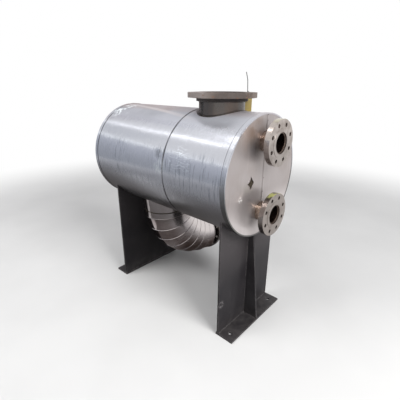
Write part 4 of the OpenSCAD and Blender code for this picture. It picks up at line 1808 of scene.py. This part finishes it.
@dataclass(frozen=True)
class Ground:
    """A level plane that fades into the white surroundings far from the object.

    Its fade starts and ends at two distances from the point that it is centred on.
    """

    name: str
    height: float
    fade: Span
    middle: Place = (0.0, 0.0, 0.0)
    half: float = 9.0

    def build(self, paint: Callable[[Graph], None]) -> bpy.types.Object:
        """Adds the plane.

        Args:
            paint: Gives the plane's graph its colour near the object.

        Returns:
            The plane.
        """
        plane = primitive(bpy.ops.mesh.primitive_plane_add, size=2 * self.half, location=(0, 0, self.height))
        plane.name = self.name
        g = Graph(self.name)
        paint(g)
        _, radius = g.around(self.middle, Along.Z)
        white = g.add("ShaderNodeEmission")
        white.inputs["Color"].default_value = WHITE
        blend = g.add("ShaderNodeMixShader")
        g.link(g.ramp(radius, *self.fade), blend.inputs[0])
        g.link(g.shader.outputs[0], blend.inputs[1])
        g.link(white.outputs[0], blend.inputs[2])
        g.link(blend.outputs[0], g.output.inputs["Surface"])
        coat(plane, g.material)
        return plane


@dataclass
class Studio:
    """The floor, the white surroundings, the cards, the lamps and the camera."""

    floor_colour: Colour = (0.74, 0.735, 0.725)
    floor_worn: float = 0.94
    mirrored_colour: Colour = (0.30, 0.303, 0.315)
    shaded_colour: Colour = (0.115, 0.105, 0.10)
    shaded_x: Span = (0.7, 0.1)
    shaded_y: Span = (-1.45, -0.65)
    ambient: Colour = (0.36, 0.365, 0.38)
    camera_place: Place = (1.4440, -1.4971, 1.4992)
    azimuth: float = 0.73771
    pitch: float = 0.36110
    roll: float = 0.00465
    lens: float = 27.688
    sensor: float = 36.0
    clip: Span = (0.05, 100.0)
    cards: tuple[Card, ...] = (
        Card("flank_card", (-4.2, -2.9, 1.37), -0.72, (11.0, 2.74), (0.62, 0.645, 0.71),
             foot=(0.40, 0.42, 0.455)),
        Card("line_card", (-4.18, -2.877, 2.73), -0.72, (11.0, 0.26), (1.46, 1.50, 1.50)),
        Card("rear_card", (-6.51, -0.834, 3.76), -0.72, (5.8, 1.68), (0.77, 0.785, 0.81)),
        Card("neck_card", (-5.2, 0.3, 1.25), -math.pi / 2, (5.0, 1.6), (0.012, 0.013, 0.014)),
        Card("top_card", (-8.0, 5.35, 4.85), -math.pi / 2, (11.8, 9.7), (0.72, 0.73, 0.79),
             foot=(0.46, 0.37, 0.35)),
        Card("bend_strip", (-1.20, -0.84, 0.001), 0.607, (1.55, 0.26), (0.85, 0.86, 0.88), lean=0.0),
    )
    lamps: tuple[Lamp, ...] = (
        Lamp("rear_strip", (-4.3, -1.33, 4.0), (-3.92, -0.087, 1.2), (2.1, 0.35), 0.8),
        Lamp("front_strip", (-2.42, -1.74, 4.0), (-2.04, -0.497, 1.2), (1.6, 0.35), 1.6),
        Lamp("rim_box", (-0.85, -1.20, 3.9), (-0.85, -1.20, 1.2), (0.9, 0.7), 3.6),
        Lamp("neck_spot", (2.45, -1.87, 3.85), (0.6, 0, 0.85), (0.5, 0.5), 45.0, on_matt=False),
        Lamp("key", (4.0, -0.6, 3.8), (0.2, 0, 0.5), (2.4, 2.4), 14.0, in_metal=False),
        Lamp("fill", (-1.8, -3.4, 4.4), (0, 0, 0.8), (2.6, 2.6), 6.0, in_metal=False),
    )

    def _worn(self, g: Graph, colour: Colour) -> Socket:
        """Gives a floor's colour with faint darker patches."""
        darker = tuple(part * self.floor_worn for part in colour)
        return g.wash(colour, darker, g.noise(1.3, 3, 0.5), (0.3, 0.7))

    def _paint_floor(self, g: Graph) -> None:
        """Paints the pale floor."""
        g.surface(self._worn(g, self.floor_colour), 0.8, 0.0)

    def _paint_mirrored_floor(self, g: Graph) -> None:
        """Paints the floor that metal mirrors, darker beside the object than farther out.

        Args:
            g: The floor's graph.
        """
        x, y, _ = g.parts()
        near = g.times(g.ramp(y, *self.shaded_y), g.ramp(x, *self.shaded_x))
        g.glow(g.mix(near, self.mirrored_colour, self.shaded_colour))
        g.shade(base_color=self._worn(g, self.mirrored_colour))

    def floors(self) -> None:
        """Adds the pale floor and the darker one that only metal mirrors."""
        pale = Ground("floor", -0.0005, (2.6, 5.0))
        dark = Ground("mirrored_floor", -0.0010, (2.7, 4.4), (-1.6, -1.7, 0.0))
        pale.build(self._paint_floor).visible_glossy = False
        show_in_metal_only(dark.build(self._paint_mirrored_floor))

    def world(self) -> None:
        """Makes the surroundings white to the camera and in metal, and an even soft light elsewhere."""
        world = bpy.data.worlds.new("studio")
        bpy.context.scene.world = world
        world.use_nodes = True
        nodes, links = world.node_tree.nodes, world.node_tree.links
        nodes.clear()
        path = nodes.new("ShaderNodeLightPath")
        seen = path.outputs["Is Camera Ray"]
        for name in ("Is Glossy Ray", "Is Transmission Ray"):
            either = nodes.new("ShaderNodeMath")
            either.operation = "MAXIMUM"
            links.new(seen, either.inputs[0])
            links.new(path.outputs[name], either.inputs[1])
            seen = either.outputs[0]
        blend = nodes.new("ShaderNodeMixShader")
        links.new(seen, blend.inputs[0])
        for index, colour in ((1, (*self.ambient, 1)), (2, WHITE)):
            background = nodes.new("ShaderNodeBackground")
            background.inputs["Color"].default_value = colour
            links.new(background.outputs[0], blend.inputs[index])
        output = nodes.new("ShaderNodeOutputWorld")
        links.new(blend.outputs[0], output.inputs[0])

    def camera(self) -> None:
        """Sets the camera where the photograph was taken from."""
        sin_a, cos_a = math.sin(self.azimuth), math.cos(self.azimuth)
        sin_p, cos_p = math.sin(self.pitch), math.cos(self.pitch)
        back = Vector((sin_a * cos_p, -cos_a * cos_p, sin_p))
        right = (-back).cross(Along.Z.value).normalized()
        up = right.cross(-back)
        sin_r, cos_r = math.sin(self.roll), math.cos(self.roll)
        basis = Matrix((right * cos_r + up * sin_r, up * cos_r - right * sin_r, back)).transposed().to_4x4()
        data = bpy.data.cameras.new("camera")
        data.lens, data.sensor_width = self.lens, self.sensor
        data.clip_start, data.clip_end = self.clip
        camera = bpy.data.objects.new("camera", data)
        bpy.context.scene.collection.objects.link(camera)
        camera.matrix_world = Matrix.Translation(self.camera_place) @ basis
        bpy.context.scene.camera = camera

    def build(self) -> None:
        """Sets the stage."""
        self.floors()
        for card in self.cards:
            card.build()
        self.world()
        for lamp in self.lamps:
            lamp.build()
        self.camera()
        bpy.context.scene.view_settings.view_transform = "Standard"


def corners(box: tuple[Vector, Vector]) -> list[list[float]]:
    """Gives a box as plain lists of numbers."""
    return [[float(v) for v in corner] for corner in box]


def main() -> None:
    """Builds the dressed exchanger on its frame and sets the stage."""
    logging.basicConfig(level=logging.INFO, format="%(name)s: %(message)s")
    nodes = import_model()["nodes"]
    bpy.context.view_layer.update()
    finishes = Finishes()
    for kind in (Jacket, Nozzles, OutletBend, Saddles, TieAndTag):
        part = kind(finishes)
        part.dress(nodes)
        part.build()
        LOG.info("%s done", kind.__name__)
    Studio().build()


if __name__ == "__main__":
    main()
